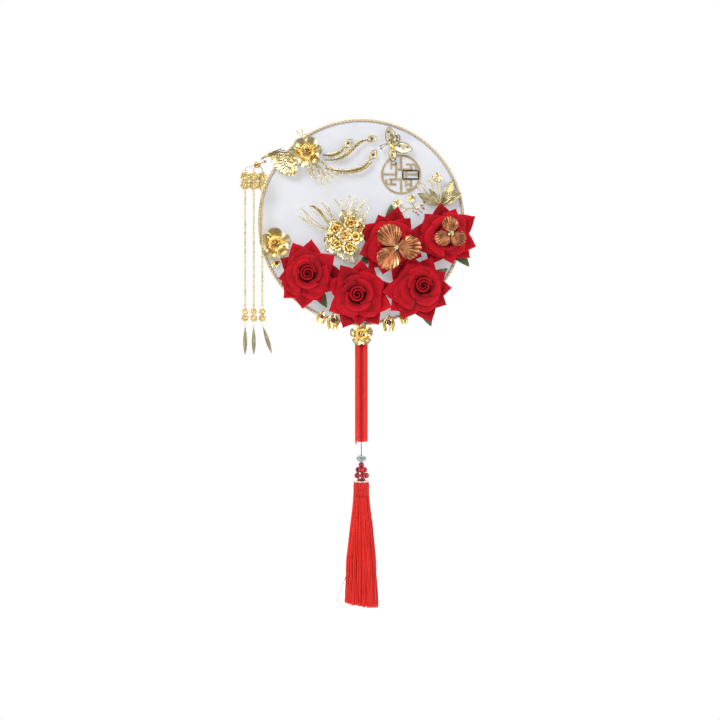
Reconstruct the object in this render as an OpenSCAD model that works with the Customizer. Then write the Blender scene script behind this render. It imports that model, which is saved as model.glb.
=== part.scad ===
// Round bridal hand fan: a gauze disc in a trimmed hoop on a braided handle, dressed with
// fabric roses and pressed brass ornaments, with three chain drops and a silk tassel.
// Frame: +Z up along the handle, the fan's face looks along -Y, the origin is on the handle's
// axis halfway up the grip. Millimetres.

/* [Hoop] */
// Outside diameter of the hoop with its trim
hoop_d = 250; // [200:1:320]
// Width of the hoop band across the fan's face
hoop_w = 3; // [2:0.1:5]
// Thickness of the hoop band, front to back
hoop_t = 2.4; // [1.8:0.1:4]
// Thickness of the braided trim over the band
trim_t = 1; // [0.6:0.1:1.6]
// Thickness of the gauze panel
gauze_t = 0.3; // [0.2:0.05:0.6]

/* [Handle] */
// Length of the wooden dowel
handle_l = 140; // [100:1:200]
// Diameter of the dowel
dowel_d = 8; // [7:0.5:12]
// Diameter of one lengthwise braid rib
rib_d = 7.8; // [6.4:0.1:9]
// Diameter of the hoop's steel tang
tang_d = 3; // [2:0.1:4]
// Depth that the tang is pressed into the dowel
tang_l = 30; // [15:1:45]
// Length of the brass ferrule
ferrule_l = 10; // [6:1:16]
// Wall of the brass ferrule
ferrule_t = 1.5; // [0.8:0.1:2.5]

/* [Tassel] */
// Diameter of the hanging cord
cord_d = 1.2; // [0.9:0.1:2]
// Diameter of the clear bead
clear_bead_d = 12; // [9:0.5:16]
// Height of the clear bead
clear_bead_h = 8.6; // [6:0.5:11]
// Diameter of one red bead
red_bead_d = 7; // [5:0.1:8.4]
// Diameter of the tassel's bound head
head_d = 18.5; // [14:0.5:24]
// Length of the tassel's bound head
head_l = 16; // [10:0.5:24]
// Length of the hanging threads
skirt_l = 132; // [90:1:180]
// Width of the threads at their lower end
skirt_d = 41.5; // [28:1:56]

/* [Chain drops] */
// Outside length of one chain link
link_l = 4.2; // [3.5:0.1:6]
// Outside width of one chain link
link_w = 2.4; // [2.3:0.1:4]
// Wire diameter of the links and rings
wire_d = 0.6; // [0.4:0.05:0.72]
// Links above the middle of each chain, an odd count
links_upper = 25; // [11:2:31]
// Links below the middle of each chain, an odd count
links_lower = 23; // [11:2:31]
// Sideways distance from drop to drop
drop_pitch = 10; // [10:0.1:14]
// Front to back distance from drop to drop
drop_step = 5; // [4.6:0.1:8]
// Diameter of a drop's rosette and charm
rosette_d = 10; // [8:0.1:12]
// Length of a willow-leaf pendant
leaf_l = 34; // [24:1:44]
// Width of a willow-leaf pendant
leaf_w = 4; // [3:0.1:6]

/* [Roses] */
// Diameter across a rose's outer petal tips
rose_d = 76; // [64:1:84]
// Number of outer petal tips
rose_tips = 11; // [8:1:13]
// Height of a calyx
calyx_h = 4; // [3.4:0.1:6]
// Diameter of a calyx
calyx_d = 18; // [14:0.5:22]
// Height of the wound heart of a rose
heart_h = 17; // [12:1:22]

/* [Brass ornaments] */
// Thickness of pressed sheet brass
sheet_t = 1; // [0.6:0.1:1.4]
// Diameter of the fretwork medallion
medallion_d = 48; // [36:1:56]
// Width of the medallion's bars
fret_w = 2.3; // [1:0.1:3]
// Diameter of the blossom on the phoenix
phoenix_blossom_d = 31; // [24:1:36]
// Diameter of the blossom at the left of the face
left_blossom_d = 34; // [26:1:38]
// Diameter of the blossom in the middle of the face
centre_blossom_d = 42; // [32:1:48]
// Diameter of the blossom on the handle
handle_blossom_d = 25; // [18:1:30]
// Diameter of a trefoil's petal on the left, larger trefoil
trefoil_petal_d = 28; // [20:1:32]

/* [Hidden] */
$fn = 48;

brass = "goldenrod";
petal_red = "crimson";
silk_red = "red";

// Clearance of a bead or ring on the cord or wire that it hangs on
clearance = 0.12;
// Clearance of the tassel's knot in the dowel's end, and of a turning face
turn_gap = 0.3;

hoop_r = hoop_d / 2;
band_r = hoop_r - trim_t;
inner_r = band_r - hoop_w;
rim_gap = 0.5;
dowel_top = handle_l / 2;
dowel_foot = -handle_l / 2;
hoop_z = dowel_top + rim_gap + hoop_r;
// Depth of the trim's front face in front of the gauze
rim_front = hoop_t / 2 + trim_t - gauze_t / 2;
rib_ring = (dowel_d + rib_d) / 2 - 2.4;
braid_front = rib_ring * sin(45) + rib_d / 2;

// Puts a piece on the fan's face: x and z are shares of the hoop's radius from its centre, depth
// is in front of the gauze. There, x is right, y is up and z is out of the face.
module on_face(x, z, depth = 0) {
    translate([hoop_r * x, -gauze_t / 2 - depth, hoop_z + hoop_r * z]) rotate([90, 0, 0]) children();
}

// A straight round rod between two points.
module rod(from, to, d) {
    v = to - from;
    translate(from)
        rotate([0, acos(v.z / norm(v)), atan2(v.y, v.x)])
            cylinder(d = d, h = norm(v));
}

// A flat ring of round wire in the XZ plane. centre_d is measured to the wire's middle.
module wire_ring(centre_d) {
    rotate([90, 0, 0])
        rotate_extrude()
            translate([centre_d / 2, 0]) circle(d = wire_d, $fn = 24);
}

// A pressed flower outline: round petals about a round middle.
module flower_outline(petals, d, petal_share = 0.42) {
    petal_d = d * petal_share;
    circle(d = d - petal_d);
    for (i = [0 : petals - 1])
        rotate(i * 360 / petals) translate([(d - petal_d) / 2, 0]) circle(d = petal_d);
}

// Layers of pressed petals on one hub, each smaller than the one below.
module blossom(d, petals, layers, foot) {
    cylinder(d = d * 0.24, h = foot + layers * (sheet_t + 1.2));
    for (i = [0 : layers - 1])
        translate([0, 0, foot + i * (sheet_t + 1.2)])
            rotate(i * 180 / petals)
                linear_extrude(sheet_t) flower_outline(petals, d * (1 - 0.26 * i));
    translate([0, 0, foot + layers * (sheet_t + 1.2)]) sphere(d = d * 0.24);
}

// A leaf outline from the origin along +x, as the lens between two arcs.
module leaf_outline(length, width) {
    r = (length * length / 4 + width * width / 4) / width;
    intersection() {
        translate([length / 2, width / 2 - r]) circle(r = r, $fn = 240);
        translate([length / 2, r - width / 2]) circle(r = r, $fn = 240);
    }
}

// ---- Hoop, trim and gauze ----

module hoop_ring() {
    color("silver") {
        translate([0, 0, hoop_z])
            rotate([90, 0, 0])
                rotate_extrude()
                    translate([inner_r, -hoop_t / 2]) square([hoop_w, hoop_t]);
        translate([0, 0, dowel_top - tang_l])
            cylinder(d = tang_d, h = tang_l + rim_gap + trim_t + hoop_w / 2);
    }
}

trim_lap = 0.8;
trim_open = asin((dowel_d / 2 + ferrule_t + rim_gap) / hoop_r);
module rim_trim() {
    color("khaki")
        translate([0, 0, hoop_z])
            rotate([90, 0, 0])
                rotate([0, 0, trim_open - 90])
                    rotate_extrude(angle = 360 - 2 * trim_open)
                        difference() {
                            translate([inner_r - trim_lap, -hoop_t / 2 - trim_t])
                                square([trim_lap + hoop_w + trim_t, hoop_t + 2 * trim_t]);
                            translate([inner_r - 2 * trim_lap, -hoop_t / 2])
                                square([2 * trim_lap + hoop_w, hoop_t]);
                        }
}

module gauze_panel() {
    color("ghostwhite")
        translate([0, gauze_t / 2, hoop_z])
            rotate([90, 0, 0])
                cylinder(r = inner_r, h = gauze_t, $fn = 180);
}

// ---- Handle ----

knot_d = 2.8;
cord_hole_l = 12;
// Countersink at the hole's mouth, which lets the cord lean over
mouth_h = 0.8;
module handle_dowel() {
    hole_d = knot_d + 2 * turn_gap;
    color("burlywood")
        difference() {
            translate([0, 0, dowel_foot]) cylinder(d = dowel_d, h = handle_l);
            translate([0, 0, dowel_top - tang_l]) cylinder(d = tang_d, h = tang_l + 1);
            translate([0, 0, dowel_foot - 1]) cylinder(d = hole_d, h = cord_hole_l + 1);
            translate([0, 0, dowel_foot]) cylinder(d1 = hole_d + 2 * mouth_h, d2 = hole_d, h = mouth_h);
        }
}

module handle_braid() {
    color(silk_red)
        translate([0, 0, dowel_foot])
            linear_extrude(handle_l - ferrule_l)
                difference() {
                    union() {
                        circle(r = rib_ring);
                        for (i = [0 : 3])
                            rotate(45 + 90 * i) translate([rib_ring, 0]) circle(d = rib_d);
                    }
                    circle(d = dowel_d);
                }
}

module handle_ferrule() {
    color(brass)
        translate([0, 0, dowel_top - ferrule_l])
            difference() {
                cylinder(d = dowel_d + 2 * ferrule_t, h = ferrule_l);
                translate([0, 0, -1]) cylinder(d = dowel_d, h = ferrule_l + 2);
            }
}

module handle_blossom() {
    color(brass)
        translate([0, -braid_front, dowel_top - ferrule_l])
            rotate([90, 0, 0])
                blossom(handle_blossom_d, 5, 2, 0);
}

// ---- Tassel ----

bore_d = cord_d + 2 * clearance;
cord_free = 15.9;
clear_bead_z = dowel_foot - cord_free - clear_bead_h / 2;
red_top_z = clear_bead_z - clear_bead_h / 2 - red_bead_d / 2;
red_middle_z = red_top_z - red_bead_d * 0.84;
red_lower_z = red_middle_z - red_bead_d * 0.98;
cap_h = 3.6;
cap_top_z = red_lower_z - red_bead_d / 2;
head_top_z = cap_top_z - cap_h;
head_foot_z = head_top_z - head_l;
// The cord's route, from under the knot to inside the tassel's head
cord_route = [
    [0, 0, -71.5], [0, 0, -74], [0, 0, -77], [0, 0, -80], [0, 0, -83], [0, 0, -86],
    [0, 0, -89], [0, 0, -92], [0, 0, -95], [0, 0, -98], [0, 0, -101], [0, 0, -104],
    [0, 0, -107], [0, 0, -110], [0, 0, -113], [0, 0, -116], [0, 0, -119], [0, 0, -122],
    [0, 0, -124]
];

// A round tube through the points of a route, which runs mostly along Z.
module swept_cord(route, d, sides = 8) {
    n = len(route);
    ring = [for (p = route, k = [0 : sides - 1])
        p + d / 2 * [cos(360 * k / sides), sin(360 * k / sides), 0]];
    walls = [for (i = [0 : n - 2], k = [0 : sides - 1])
        [i * sides + k, i * sides + (k + 1) % sides, (i + 1) * sides + (k + 1) % sides,
            (i + 1) * sides + k]];
    foot = [[for (k = [0 : sides - 1]) (n - 1) * sides + k]];
    top = [[for (k = [sides - 1 : -1 : 0]) k]];
    polyhedron(points = ring, faces = concat(top, walls, foot));
}

module tassel_knot() {
    color(silk_red) translate([0, 0, dowel_foot]) sphere(d = knot_d);
}

module tassel_cord() {
    color("darkred") swept_cord(cord_route, cord_d);
}

// A bead, flattened at its poles, with a bore for the cord.
module cord_bead(d, h) {
    difference() {
        intersection() {
            sphere(d = d);
            cylinder(d = d + 1, h = h, center = true);
        }
        cylinder(d = bore_d, h = d + 2, center = true);
    }
}

module clear_bead() {
    color("lightcyan") translate([0, 0, clear_bead_z]) cord_bead(clear_bead_d, clear_bead_h);
}

module red_bead_top() {
    color("firebrick") translate([0, 0, red_top_z]) cord_bead(red_bead_d, red_bead_d);
}

// Beads side by side about the cord, each just clear of the next.
module bead_ring(count, z) {
    ring_r = max(red_bead_d / 2 / sin(180 / count), (red_bead_d + bore_d) / 2) + clearance;
    for (i = [0 : count - 1])
        rotate(i * 360 / count) translate([ring_r, 0, z]) sphere(d = red_bead_d);
}

module red_beads_middle() {
    color("firebrick") rotate(30) bead_ring(3, red_middle_z);
}

module red_beads_lower() {
    color("firebrick") bead_ring(5, red_lower_z);
}

module bead_cap() {
    color("silver")
        translate([0, 0, head_top_z])
            difference() {
                cylinder(d1 = head_d * 0.62, d2 = head_d * 0.46, h = cap_h);
                translate([0, 0, -1]) cylinder(d = bore_d, h = cap_h + 2);
            }
}

cord_pocket = 9;
module tassel_head() {
    color(silk_red)
        translate([0, 0, head_foot_z])
            difference() {
                union() {
                    cylinder(d = head_d, h = head_l - 2);
                    translate([0, 0, head_l - 2]) cylinder(d1 = head_d, d2 = head_d - 3, h = 2);
                }
                translate([0, 0, head_l - cord_pocket]) cylinder(d = bore_d, h = cord_pocket + 1);
            }
}

// The threads start as a dome about their own hinge, so that they can turn under the head.
dome_r = head_d / 2 - 0.2;
skirt_hinge_z = head_foot_z - turn_gap - dome_r;
skirt_waist_l = skirt_l * 0.45;
module tassel_skirt() {
    foot_l = skirt_l - dome_r - skirt_waist_l;
    color(silk_red)
        translate([0, 0, skirt_hinge_z]) {
            sphere(r = dome_r);
            translate([0, 0, -skirt_waist_l])
                cylinder(r1 = skirt_d * 0.4, r2 = dome_r - turn_gap, h = skirt_waist_l);
            translate([0, 0, -skirt_waist_l - foot_l])
                cylinder(r1 = skirt_d / 2, r2 = skirt_d * 0.4, h = foot_l);
        }
}

// ---- Chain drops ----
// Each drop hangs from an eye whose wire runs front to back, so it sways about Y there. The joints
// below it turn about X and Y by turns, as the links of a chain do.

drop_x = -1.03 * hoop_r;
eye_z = hoop_z + 0.475 * hoop_r;
nearest_depth = 16;
ring_d = 3;
// How far soldered pieces of a rosette or charm run into each other
lap = 0.3;
// How far the next link's top wire sits above the wire that it hangs on
hang = wire_d + clearance;
pitch = link_l - wire_d - hang;

function drop_depth(n) = nearest_depth + (3 - n) * drop_step;
function drop_pos(n) = [drop_x + (n - 2) * drop_pitch, -gauze_t / 2 - drop_depth(n), eye_z];

// Heights below an eye's wire, for each place where one piece hangs on the next.
rosette_foot = hang - 2 * ring_d - 2 * rosette_d + 3 * lap;
upper_foot = rosette_foot + hang - (link_l - wire_d) - (links_upper - 1) * pitch;
lower_foot = upper_foot + hang - (link_l - wire_d) - (links_lower - 1) * pitch;
charm_head_d = rosette_d * 0.66;
charm_foot = lower_foot + hang - 2 * ring_d - rosette_d - charm_head_d + 3 * lap;
// How far the third leaf lies swung to the side
leaf_3_swing = -18;

// One chain link in the XZ plane, its top wire's middle at the origin.
module link() {
    w = link_w - wire_d;
    side_l = link_l - link_w;
    translate([0, 0, -w / 2]) {
        for (top = [0, 1])
            translate([0, 0, top ? 0 : -side_l])
                rotate([90, 0, 0])
                    rotate([0, 0, top ? 0 : 180])
                        rotate_extrude(angle = 180)
                            translate([w / 2, 0]) circle(d = wire_d, $fn = 24);
        for (s = [-1, 1])
            translate([s * w / 2, 0, -side_l]) cylinder(d = wire_d, h = side_l, $fn = 24);
    }
}

// count links, the first one turned by first degrees about Z, hung on a wire at height z.
module chain(count, first, z) {
    for (i = [0 : count - 1])
        translate([0, 0, z + hang - i * pitch]) rotate(first + 90 * (i % 2)) link();
}

// A small pressed flower facing the front, its middle at height z.
module small_flower(d, z) {
    translate([0, 0, z]) rotate([90, 0, 0]) {
        translate([0, 0, -sheet_t / 2]) linear_extrude(sheet_t) rotate(30) flower_outline(6, d, 0.4);
        sphere(d = d * 0.36);
    }
}

module drop_rosette(n) {
    color(brass)
        translate(drop_pos(n)) {
            translate([0, 0, hang - ring_d / 2]) wire_ring(ring_d);
            small_flower(rosette_d, hang - ring_d - rosette_d / 2 + lap);
            small_flower(rosette_d, hang - ring_d - rosette_d * 1.5 + 2 * lap);
            translate([0, 0, rosette_foot + ring_d / 2]) wire_ring(ring_d);
        }
}

module drop_chain_upper(n) {
    color(brass) translate(drop_pos(n)) chain(links_upper, 90, rosette_foot);
}

module drop_chain_lower(n) {
    color(brass) translate(drop_pos(n)) chain(links_lower, 0, upper_foot);
}

module drop_charm(n) {
    top = lower_foot + hang;
    color(brass)
        translate(drop_pos(n)) {
            translate([0, 0, top - ring_d / 2]) rotate(90) wire_ring(ring_d);
            small_flower(charm_head_d, top - ring_d - charm_head_d / 2 + lap);
            small_flower(rosette_d, top - ring_d - charm_head_d - rosette_d / 2 + 2 * lap);
            translate([0, 0, charm_foot + ring_d / 2]) rotate(90) wire_ring(ring_d);
        }
}

module drop_leaf(n) {
    color(brass)
        translate(drop_pos(n) + [0, 0, charm_foot])
            rotate([0, n == 3 ? leaf_3_swing : 0, 0]) {
                translate([0, 0, hang - ring_d / 2]) wire_ring(ring_d);
                translate([0, sheet_t / 2, hang - ring_d + wire_d / 4])
                    rotate([90, 90, 0])
                        linear_extrude(sheet_t) leaf_outline(leaf_l, leaf_w);
            }
}

// The hook: an arm from the phoenix's beak, a ball, and one eye for each drop.
ball_d = 8;
eye_d = 3.4;
module beak_hook() {
    ball = drop_pos(2) + [4.5, -drop_step, ball_d * 0.9];
    foot_h = 1.8;
    foot_depth = rim_front + sheet_t;
    beak = [hoop_r * -0.93, -gauze_t / 2 - foot_depth - foot_h / 2, hoop_z + hoop_r * 0.58];
    color(brass) {
        on_face(-0.93, 0.58, foot_depth) cylinder(d = 3.4, h = foot_h);
        rod(beak, ball, 1.6);
        translate(ball) sphere(d = ball_d);
        for (n = [1 : 3]) {
            eye = drop_pos(n) + [0, 0, eye_d / 2];
            translate(eye) rotate(90) wire_ring(eye_d);
            rod(ball, eye + [0, 0, eye_d / 2], 1);
        }
    }
}

// ---- Roses ----
// Each row: x and z on the face, layer above the calyx's height, turn in degrees, size.
roses = [
    [-0.515, -0.512, 0, 8, 1], [-0.022, -0.715, 1, 20, 0.96], [0.53, -0.655, 2, 0, 1],
    [0.275, -0.205, 0, 14, 0.9], [0.795, -0.14, 1, 26, 1]
];
layer_h = 3.5;
petal_t = 1.2;
petal_rise = 0.2;

module at_rose(n, depth = 0) {
    r = roses[n - 1];
    on_face(r[0], r[1], depth) children();
}
function calyx_top(n) = calyx_h + roses[n - 1][2] * layer_h;
// How far the middle of a heart lies below its wound edges
heart_dip = heart_h / 4;
function heart_middle(n) = calyx_top(n) + petal_t + heart_h - heart_dip;

module rose_calyxes() {
    color("darkolivegreen")
        for (n = [1 : 5])
            at_rose(n) cylinder(d = calyx_d, h = calyx_top(n));
}

// The outer petals: a pointed star cut from a shallow dish.
module rose_petals(n) {
    foot_r = calyx_d / 2;
    tip_r = rose_d / 2 * roses[n - 1][4];
    rise = petal_rise * (tip_r - foot_r);
    color(petal_red)
        at_rose(n, calyx_top(n))
            intersection() {
                rotate_extrude()
                    polygon([
                        [0, 0], [foot_r, 0], [tip_r, rise], [tip_r, rise + petal_t],
                        [foot_r, petal_t], [0, petal_t]
                    ]);
                rotate(roses[n - 1][3])
                    linear_extrude(rise + petal_t + 1)
                        polygon([for (i = [0 : 2 * rose_tips - 1])
                            let (r = i % 2 ? tip_r * 0.8 : tip_r - 0.3, a = i * 180 / rose_tips)
                            [r * cos(a), r * sin(a)]]);
            }
}

// The wound petals in the middle: rings of cups, the innermost a bud.
module rose_heart(n) {
    foot_r = calyx_d / 2 - 1;
    h = heart_h;
    color("darkred")
        at_rose(n, calyx_top(n) + petal_t)
            rotate_extrude()
                polygon([
                    [0, 0], [foot_r, 0], [foot_r * 2.1, h * 0.5], [foot_r * 2.3, h * 0.72],
                    [foot_r * 1.9, h * 0.66], [foot_r * 1.5, h * 0.5], [foot_r * 1.45, h * 0.88],
                    [foot_r * 1.05, h * 0.84], [foot_r * 0.9, h * 0.6], [foot_r * 0.8, h],
                    [foot_r * 0.4, h], [foot_r * 0.3, h - heart_dip], [0, h - heart_dip]
                ]);
}

// Each row: rose, direction in degrees, reach from the rose's middle.
leaf_rows = [
    [4, 92, 42], [2, 125, 38], [3, 34, 41], [3, -68, 44], [5, -50, 43], [1, -64, 41],
    [2, -155, 31], [4, -145, 42]
];
leaf_depth = rim_front + 0.05;
module green_leaves() {
    color("forestgreen")
        for (row = leaf_rows)
            at_rose(row[0], leaf_depth)
                linear_extrude(0.5)
                    difference() {
                        rotate(row[1]) leaf_outline(row[2], 14);
                        circle(d = calyx_d);
                    }
}

// ---- Brass ornaments ----

// Each row: x and z on the face, direction, length, depth.
bud_rows = [
    [-0.262, -0.88, -96, 17, rim_front], [-0.36, -0.86, -110, 12, rim_front],
    [0.27, -0.9, -92, 17, rim_front], [0.385, -0.87, -72, 14, rim_front],
    [-0.78, -0.38, 205, 11, 0], [-0.675, -0.3, 30, 9, 0]
];
module brass_buds() {
    color(brass)
        for (row = bud_rows)
            on_face(row[0], row[1], row[4])
                rotate(row[2])
                    linear_extrude(sheet_t) leaf_outline(row[3], row[3] * 0.55);
}

// Three round petals about a ball, on a peg in a rose's heart. The petals' middle lies at the
// offset from the peg.
module trefoil(petal_d, turn, offset) {
    plate_z = heart_dip + 0.4;
    cylinder(d = 2.4, h = plate_z + 0.8);
    translate([offset.x, offset.y, plate_z])
        rotate(turn) {
            linear_extrude(0.8) {
                circle(d = 5);
                for (i = [0 : 2])
                    rotate(i * 120) translate([petal_d * 0.52, 0]) circle(d = petal_d * 0.94);
            }
            translate([0, 0, 1]) sphere(d = 4);
        }
}

module trefoil_left() {
    color("peru") at_rose(4, heart_middle(4)) trefoil(trefoil_petal_d, -5, [7, -6]);
}

module trefoil_right() {
    color("peru") at_rose(5, heart_middle(5)) trefoil(trefoil_petal_d * 0.74, 90, [7, 2]);
}

module left_blossom() {
    color(brass) on_face(-0.824, -0.215) blossom(left_blossom_d, 5, 2, rim_front);
}

module centre_blossom() {
    color(brass)
        on_face(-0.157, -0.135) {
            blossom(centre_blossom_d, 6, 3, 0);
            for (row = [[-74, 33], [-162, 27]])
                rotate(row[0])
                    translate([centre_blossom_d * 0.3, 0, 0])
                        linear_extrude(sheet_t) leaf_outline(row[1], 21);
        }
}

// Wires that fan out from a collar, each with a ball at its end. Rows: direction, length, rise.
module spray(collar_d, collar_h, rows) {
    difference() {
        cylinder(d = collar_d + 2.4, h = collar_h);
        translate([0, 0, -1]) cylinder(d = collar_d, h = collar_h + 2);
    }
    for (row = rows) {
        dir = [cos(row[0]), sin(row[0]), 0];
        root = dir * (collar_d / 2 + 0.6) + [0, 0, collar_h / 2];
        tip = dir * row[1] + [0, 0, collar_h / 2 + row[2]];
        rod(root, tip, 0.8);
        translate(tip) sphere(d = 2.2);
    }
}

// The sprays sit round a hub in the gap between its second and third layers.
function spray_depth(foot, layer) = foot + layer * (sheet_t + 1.2) - 1.2;
centre_rows = [
    [98, 40, 7], [108, 45, 5], [117, 38, 8], [84, 34, 8], [128, 36, 4], [141, 40, 6],
    [150, 46, 4], [158, 43, 7], [167, 39, 4]
];
module centre_spray() {
    color(brass)
        on_face(-0.157, -0.135, spray_depth(0, 3) + 0.1)
            spray(centre_blossom_d * 0.24, 1, centre_rows);
}

phoenix_x = -0.525;
phoenix_z = 0.667;
phoenix_depth = rim_front;

module phoenix_body() {
    // Outline in shares of the hoop's radius, from the blossom's middle: beak, crest, back, tail, belly
    outline = [
        [-0.455, -0.105], [-0.42, -0.055], [-0.34, -0.03], [-0.25, -0.02], [-0.12, 0.06],
        [0.02, 0.1], [0.14, 0.04], [0.2, -0.06], [0.1, -0.12], [-0.06, -0.14],
        [-0.2, -0.15], [-0.33, -0.13], [-0.39, -0.12]
    ];
    color(brass)
        on_face(phoenix_x, phoenix_z, phoenix_depth)
            linear_extrude(sheet_t) polygon(outline * hoop_r);
}

// The wing: a fan of feathers, each a lens, on the body's front.
module phoenix_wing() {
    color(brass)
        on_face(phoenix_x - 0.14, phoenix_z - 0.06, phoenix_depth + sheet_t)
            linear_extrude(sheet_t) {
                for (i = [0 : 5])
                    rotate(172 + 19 * i) leaf_outline(27 - 1.2 * i, 9);
                circle(d = 9);
            }
}

// One tail plume: a band that tapers along a cubic curve, with an open eye at its end. The
// curve's four points are shares of the hoop's radius from the blossom's middle.
function cubic(c, t) =
    pow(1 - t, 3) * c[0] + 3 * t * pow(1 - t, 2) * c[1] + 3 * t * t * (1 - t) * c[2] + t * t * t * c[3];
module plume(curve) {
    steps = 16;
    points = [for (i = [0 : steps]) cubic(curve, i / steps) * hoop_r];
    normals = [for (i = [0 : steps])
        let (v = points[min(i + 1, steps)] - points[max(i - 1, 0)]) [-v.y, v.x] / norm(v)];
    half_w = [for (i = [0 : steps]) 2.1 - 1.1 * i / steps];
    band = concat(
        [for (i = [0 : steps]) points[i] + normals[i] * half_w[i]],
        [for (i = [steps : -1 : 0]) points[i] - normals[i] * half_w[i]]
    );
    v = points[steps] - points[steps - 1];
    linear_extrude(sheet_t) {
        polygon(band);
        translate(points[steps])
            rotate(atan2(v.y, v.x))
                translate([-1, 0])
                    difference() {
                        leaf_outline(14, 7.4);
                        translate([2.8, 0]) leaf_outline(8, 3.6);
                    }
    }
}

plume_rows = [
    [[0.15, -0.02], [0.26, -0.05], [0.32, 0.0], [0.36, 0.045]],
    [[0.17, -0.07], [0.42, -0.1], [0.45, 0.11], [0.57, 0.12]],
    [[0.18, -0.15], [0.4, -0.22], [0.56, -0.17], [0.61, -0.07]]
];
module phoenix_plumes() {
    color(brass)
        on_face(phoenix_x, phoenix_z, phoenix_depth + sheet_t)
            for (row = plume_rows)
                plume(row);
}

module phoenix_blossom() {
    color(brass)
        on_face(phoenix_x, phoenix_z, phoenix_depth + sheet_t)
            blossom(phoenix_blossom_d, 5, 2, 4.2);
}

phoenix_rows = [
    [-58, 36, 3], [-68, 32, 4], [-78, 28, 3], [-48, 33, 4], [-38, 30, 3], [-89, 24, 2],
    [98, 24, 2], [118, 26, 3], [140, 24, 2]
];
module phoenix_spray() {
    color(brass)
        on_face(phoenix_x, phoenix_z, phoenix_depth + sheet_t + 1.2)
            spray(phoenix_blossom_d * 0.24, 1, phoenix_rows);
}

// A round body on a short peg, with four wings, each a flat lens tipped up off the face.
// Rows: direction, length, width, tip.
wing_rows = [[100, 25, 12, 14], [57, 15, 8, 22], [-9, 25, 11, 14], [-86, 20, 8, 10]];
module butterfly() {
    peg_h = sheet_t + 3;
    wing_foot = 0.5;
    color(brass)
        on_face(0.297, 0.725) {
            cylinder(d = 3.2, h = peg_h + 1.5);
            translate([0, 0, peg_h + 1.3])
                rotate(135)
                    rotate([0, 90, 0])
                        cylinder(d = 3, h = 12, center = true);
            for (row = wing_rows)
                translate([0, 0, peg_h])
                    rotate(row[0])
                        rotate([0, -row[3], 0])
                            translate([wing_foot, 0, 0])
                                linear_extrude(0.6) leaf_outline(row[1], row[2]);
        }
}

// A round lattice of plain bars: a square within a frame, with stepped bars between.
module medallion() {
    r = medallion_d / 2;
    step = medallion_d / 8;
    color(brass)
        on_face(0.384, 0.459)
            linear_extrude(sheet_t + 0.2) {
                difference() {
                    circle(r = r);
                    circle(r = r - fret_w);
                }
                intersection() {
                    circle(r = r - fret_w / 2);
                    for (q = [0 : 3])
                        rotate(90 * q) {
                            translate([-fret_w / 2, step]) square([fret_w, r - step]);
                            translate([-step, step - fret_w / 2]) square([2 * step, fret_w]);
                            translate([-step - fret_w / 2, step - fret_w / 2]) square([fret_w, 1.6 * step]);
                            translate([step, 2 * step - fret_w / 2]) square([1.7 * step, fret_w]);
                            translate([2 * step - fret_w / 2, step]) square([fret_w, step + fret_w / 2]);
                            translate([-2.7 * step, 3 * step - fret_w / 2]) square([1.7 * step, fret_w]);
                        }
                }
            }
}

// Leaves and stalks from one root, in front of the trim. Rows: direction, length, width.
orchid_rows = [[151, 30, 9], [36, 27, 8], [71, 33, 7], [98, 33, 2.2], [115, 32, 2.2], [136, 31, 2.2]];
module orchid() {
    color(brass)
        on_face(0.77, 0.155) {
            cylinder(d = 4, h = rim_front + sheet_t);
            translate([0, 0, rim_front])
                linear_extrude(sheet_t) {
                    circle(d = 6);
                    for (row = orchid_rows)
                        rotate(row[0]) leaf_outline(row[1], row[2]);
                    rotate(98) translate([33, 0]) flower_outline(5, 11);
                    rotate(115) translate([32, 0]) flower_outline(5, 7);
                    rotate(139) translate([34, 0])
                        difference() {
                            circle(d = 12);
                            circle(d = 9.6);
                        }
                }
        }
}

module plum_twig() {
    color(brass) on_face(0.48, 0.02) {
        linear_extrude(sheet_t)
            intersection() {
                difference() {
                    circle(r = 15.5);
                    circle(r = 14.3);
                }
                translate([-16, 4]) square([32, 14]);
            }
        for (at = [[-16.25, 19.875], [0, 25.25]])
            translate(at) linear_extrude(sheet_t) flower_outline(5, 9);
        for (at = [[15, 13.75], [8.75, 6.25]])
            translate(at) cylinder(d = 3, h = sheet_t + 0.4);
    }
}

hoop_ring();
rim_trim();
gauze_panel();
handle_dowel();
handle_braid();
handle_ferrule();
handle_blossom();
tassel_knot();
tassel_cord();
clear_bead();
red_bead_top();
red_beads_middle();
red_beads_lower();
bead_cap();
tassel_head();
tassel_skirt();
beak_hook();
drop_rosette(1);  // drop_1_rosette
drop_chain_upper(1);  // drop_1_chain_upper
drop_chain_lower(1);  // drop_1_chain_lower
drop_charm(1);  // drop_1_charm
drop_leaf(1);  // drop_1_leaf
drop_rosette(2);  // drop_2_rosette
drop_chain_upper(2);  // drop_2_chain_upper
drop_chain_lower(2);  // drop_2_chain_lower
drop_charm(2);  // drop_2_charm
drop_leaf(2);  // drop_2_leaf
drop_rosette(3);  // drop_3_rosette
drop_chain_upper(3);  // drop_3_chain_upper
drop_chain_lower(3);  // drop_3_chain_lower
drop_charm(3);  // drop_3_charm
drop_leaf(3);  // drop_3_leaf
rose_calyxes();
rose_petals(1);  // rose_1_petals
rose_heart(1);  // rose_1_heart
rose_petals(2);  // rose_2_petals
rose_heart(2);  // rose_2_heart
rose_petals(3);  // rose_3_petals
rose_heart(3);  // rose_3_heart
rose_petals(4);  // rose_4_petals
rose_heart(4);  // rose_4_heart
rose_petals(5);  // rose_5_petals
rose_heart(5);  // rose_5_heart
green_leaves();
brass_buds();
trefoil_left();
trefoil_right();
left_blossom();
centre_blossom();
centre_spray();
phoenix_body();
phoenix_wing();
phoenix_plumes();
phoenix_blossom();
phoenix_spray();
butterfly();
medallion();
orchid();
plum_twig();
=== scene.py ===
import math

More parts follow.
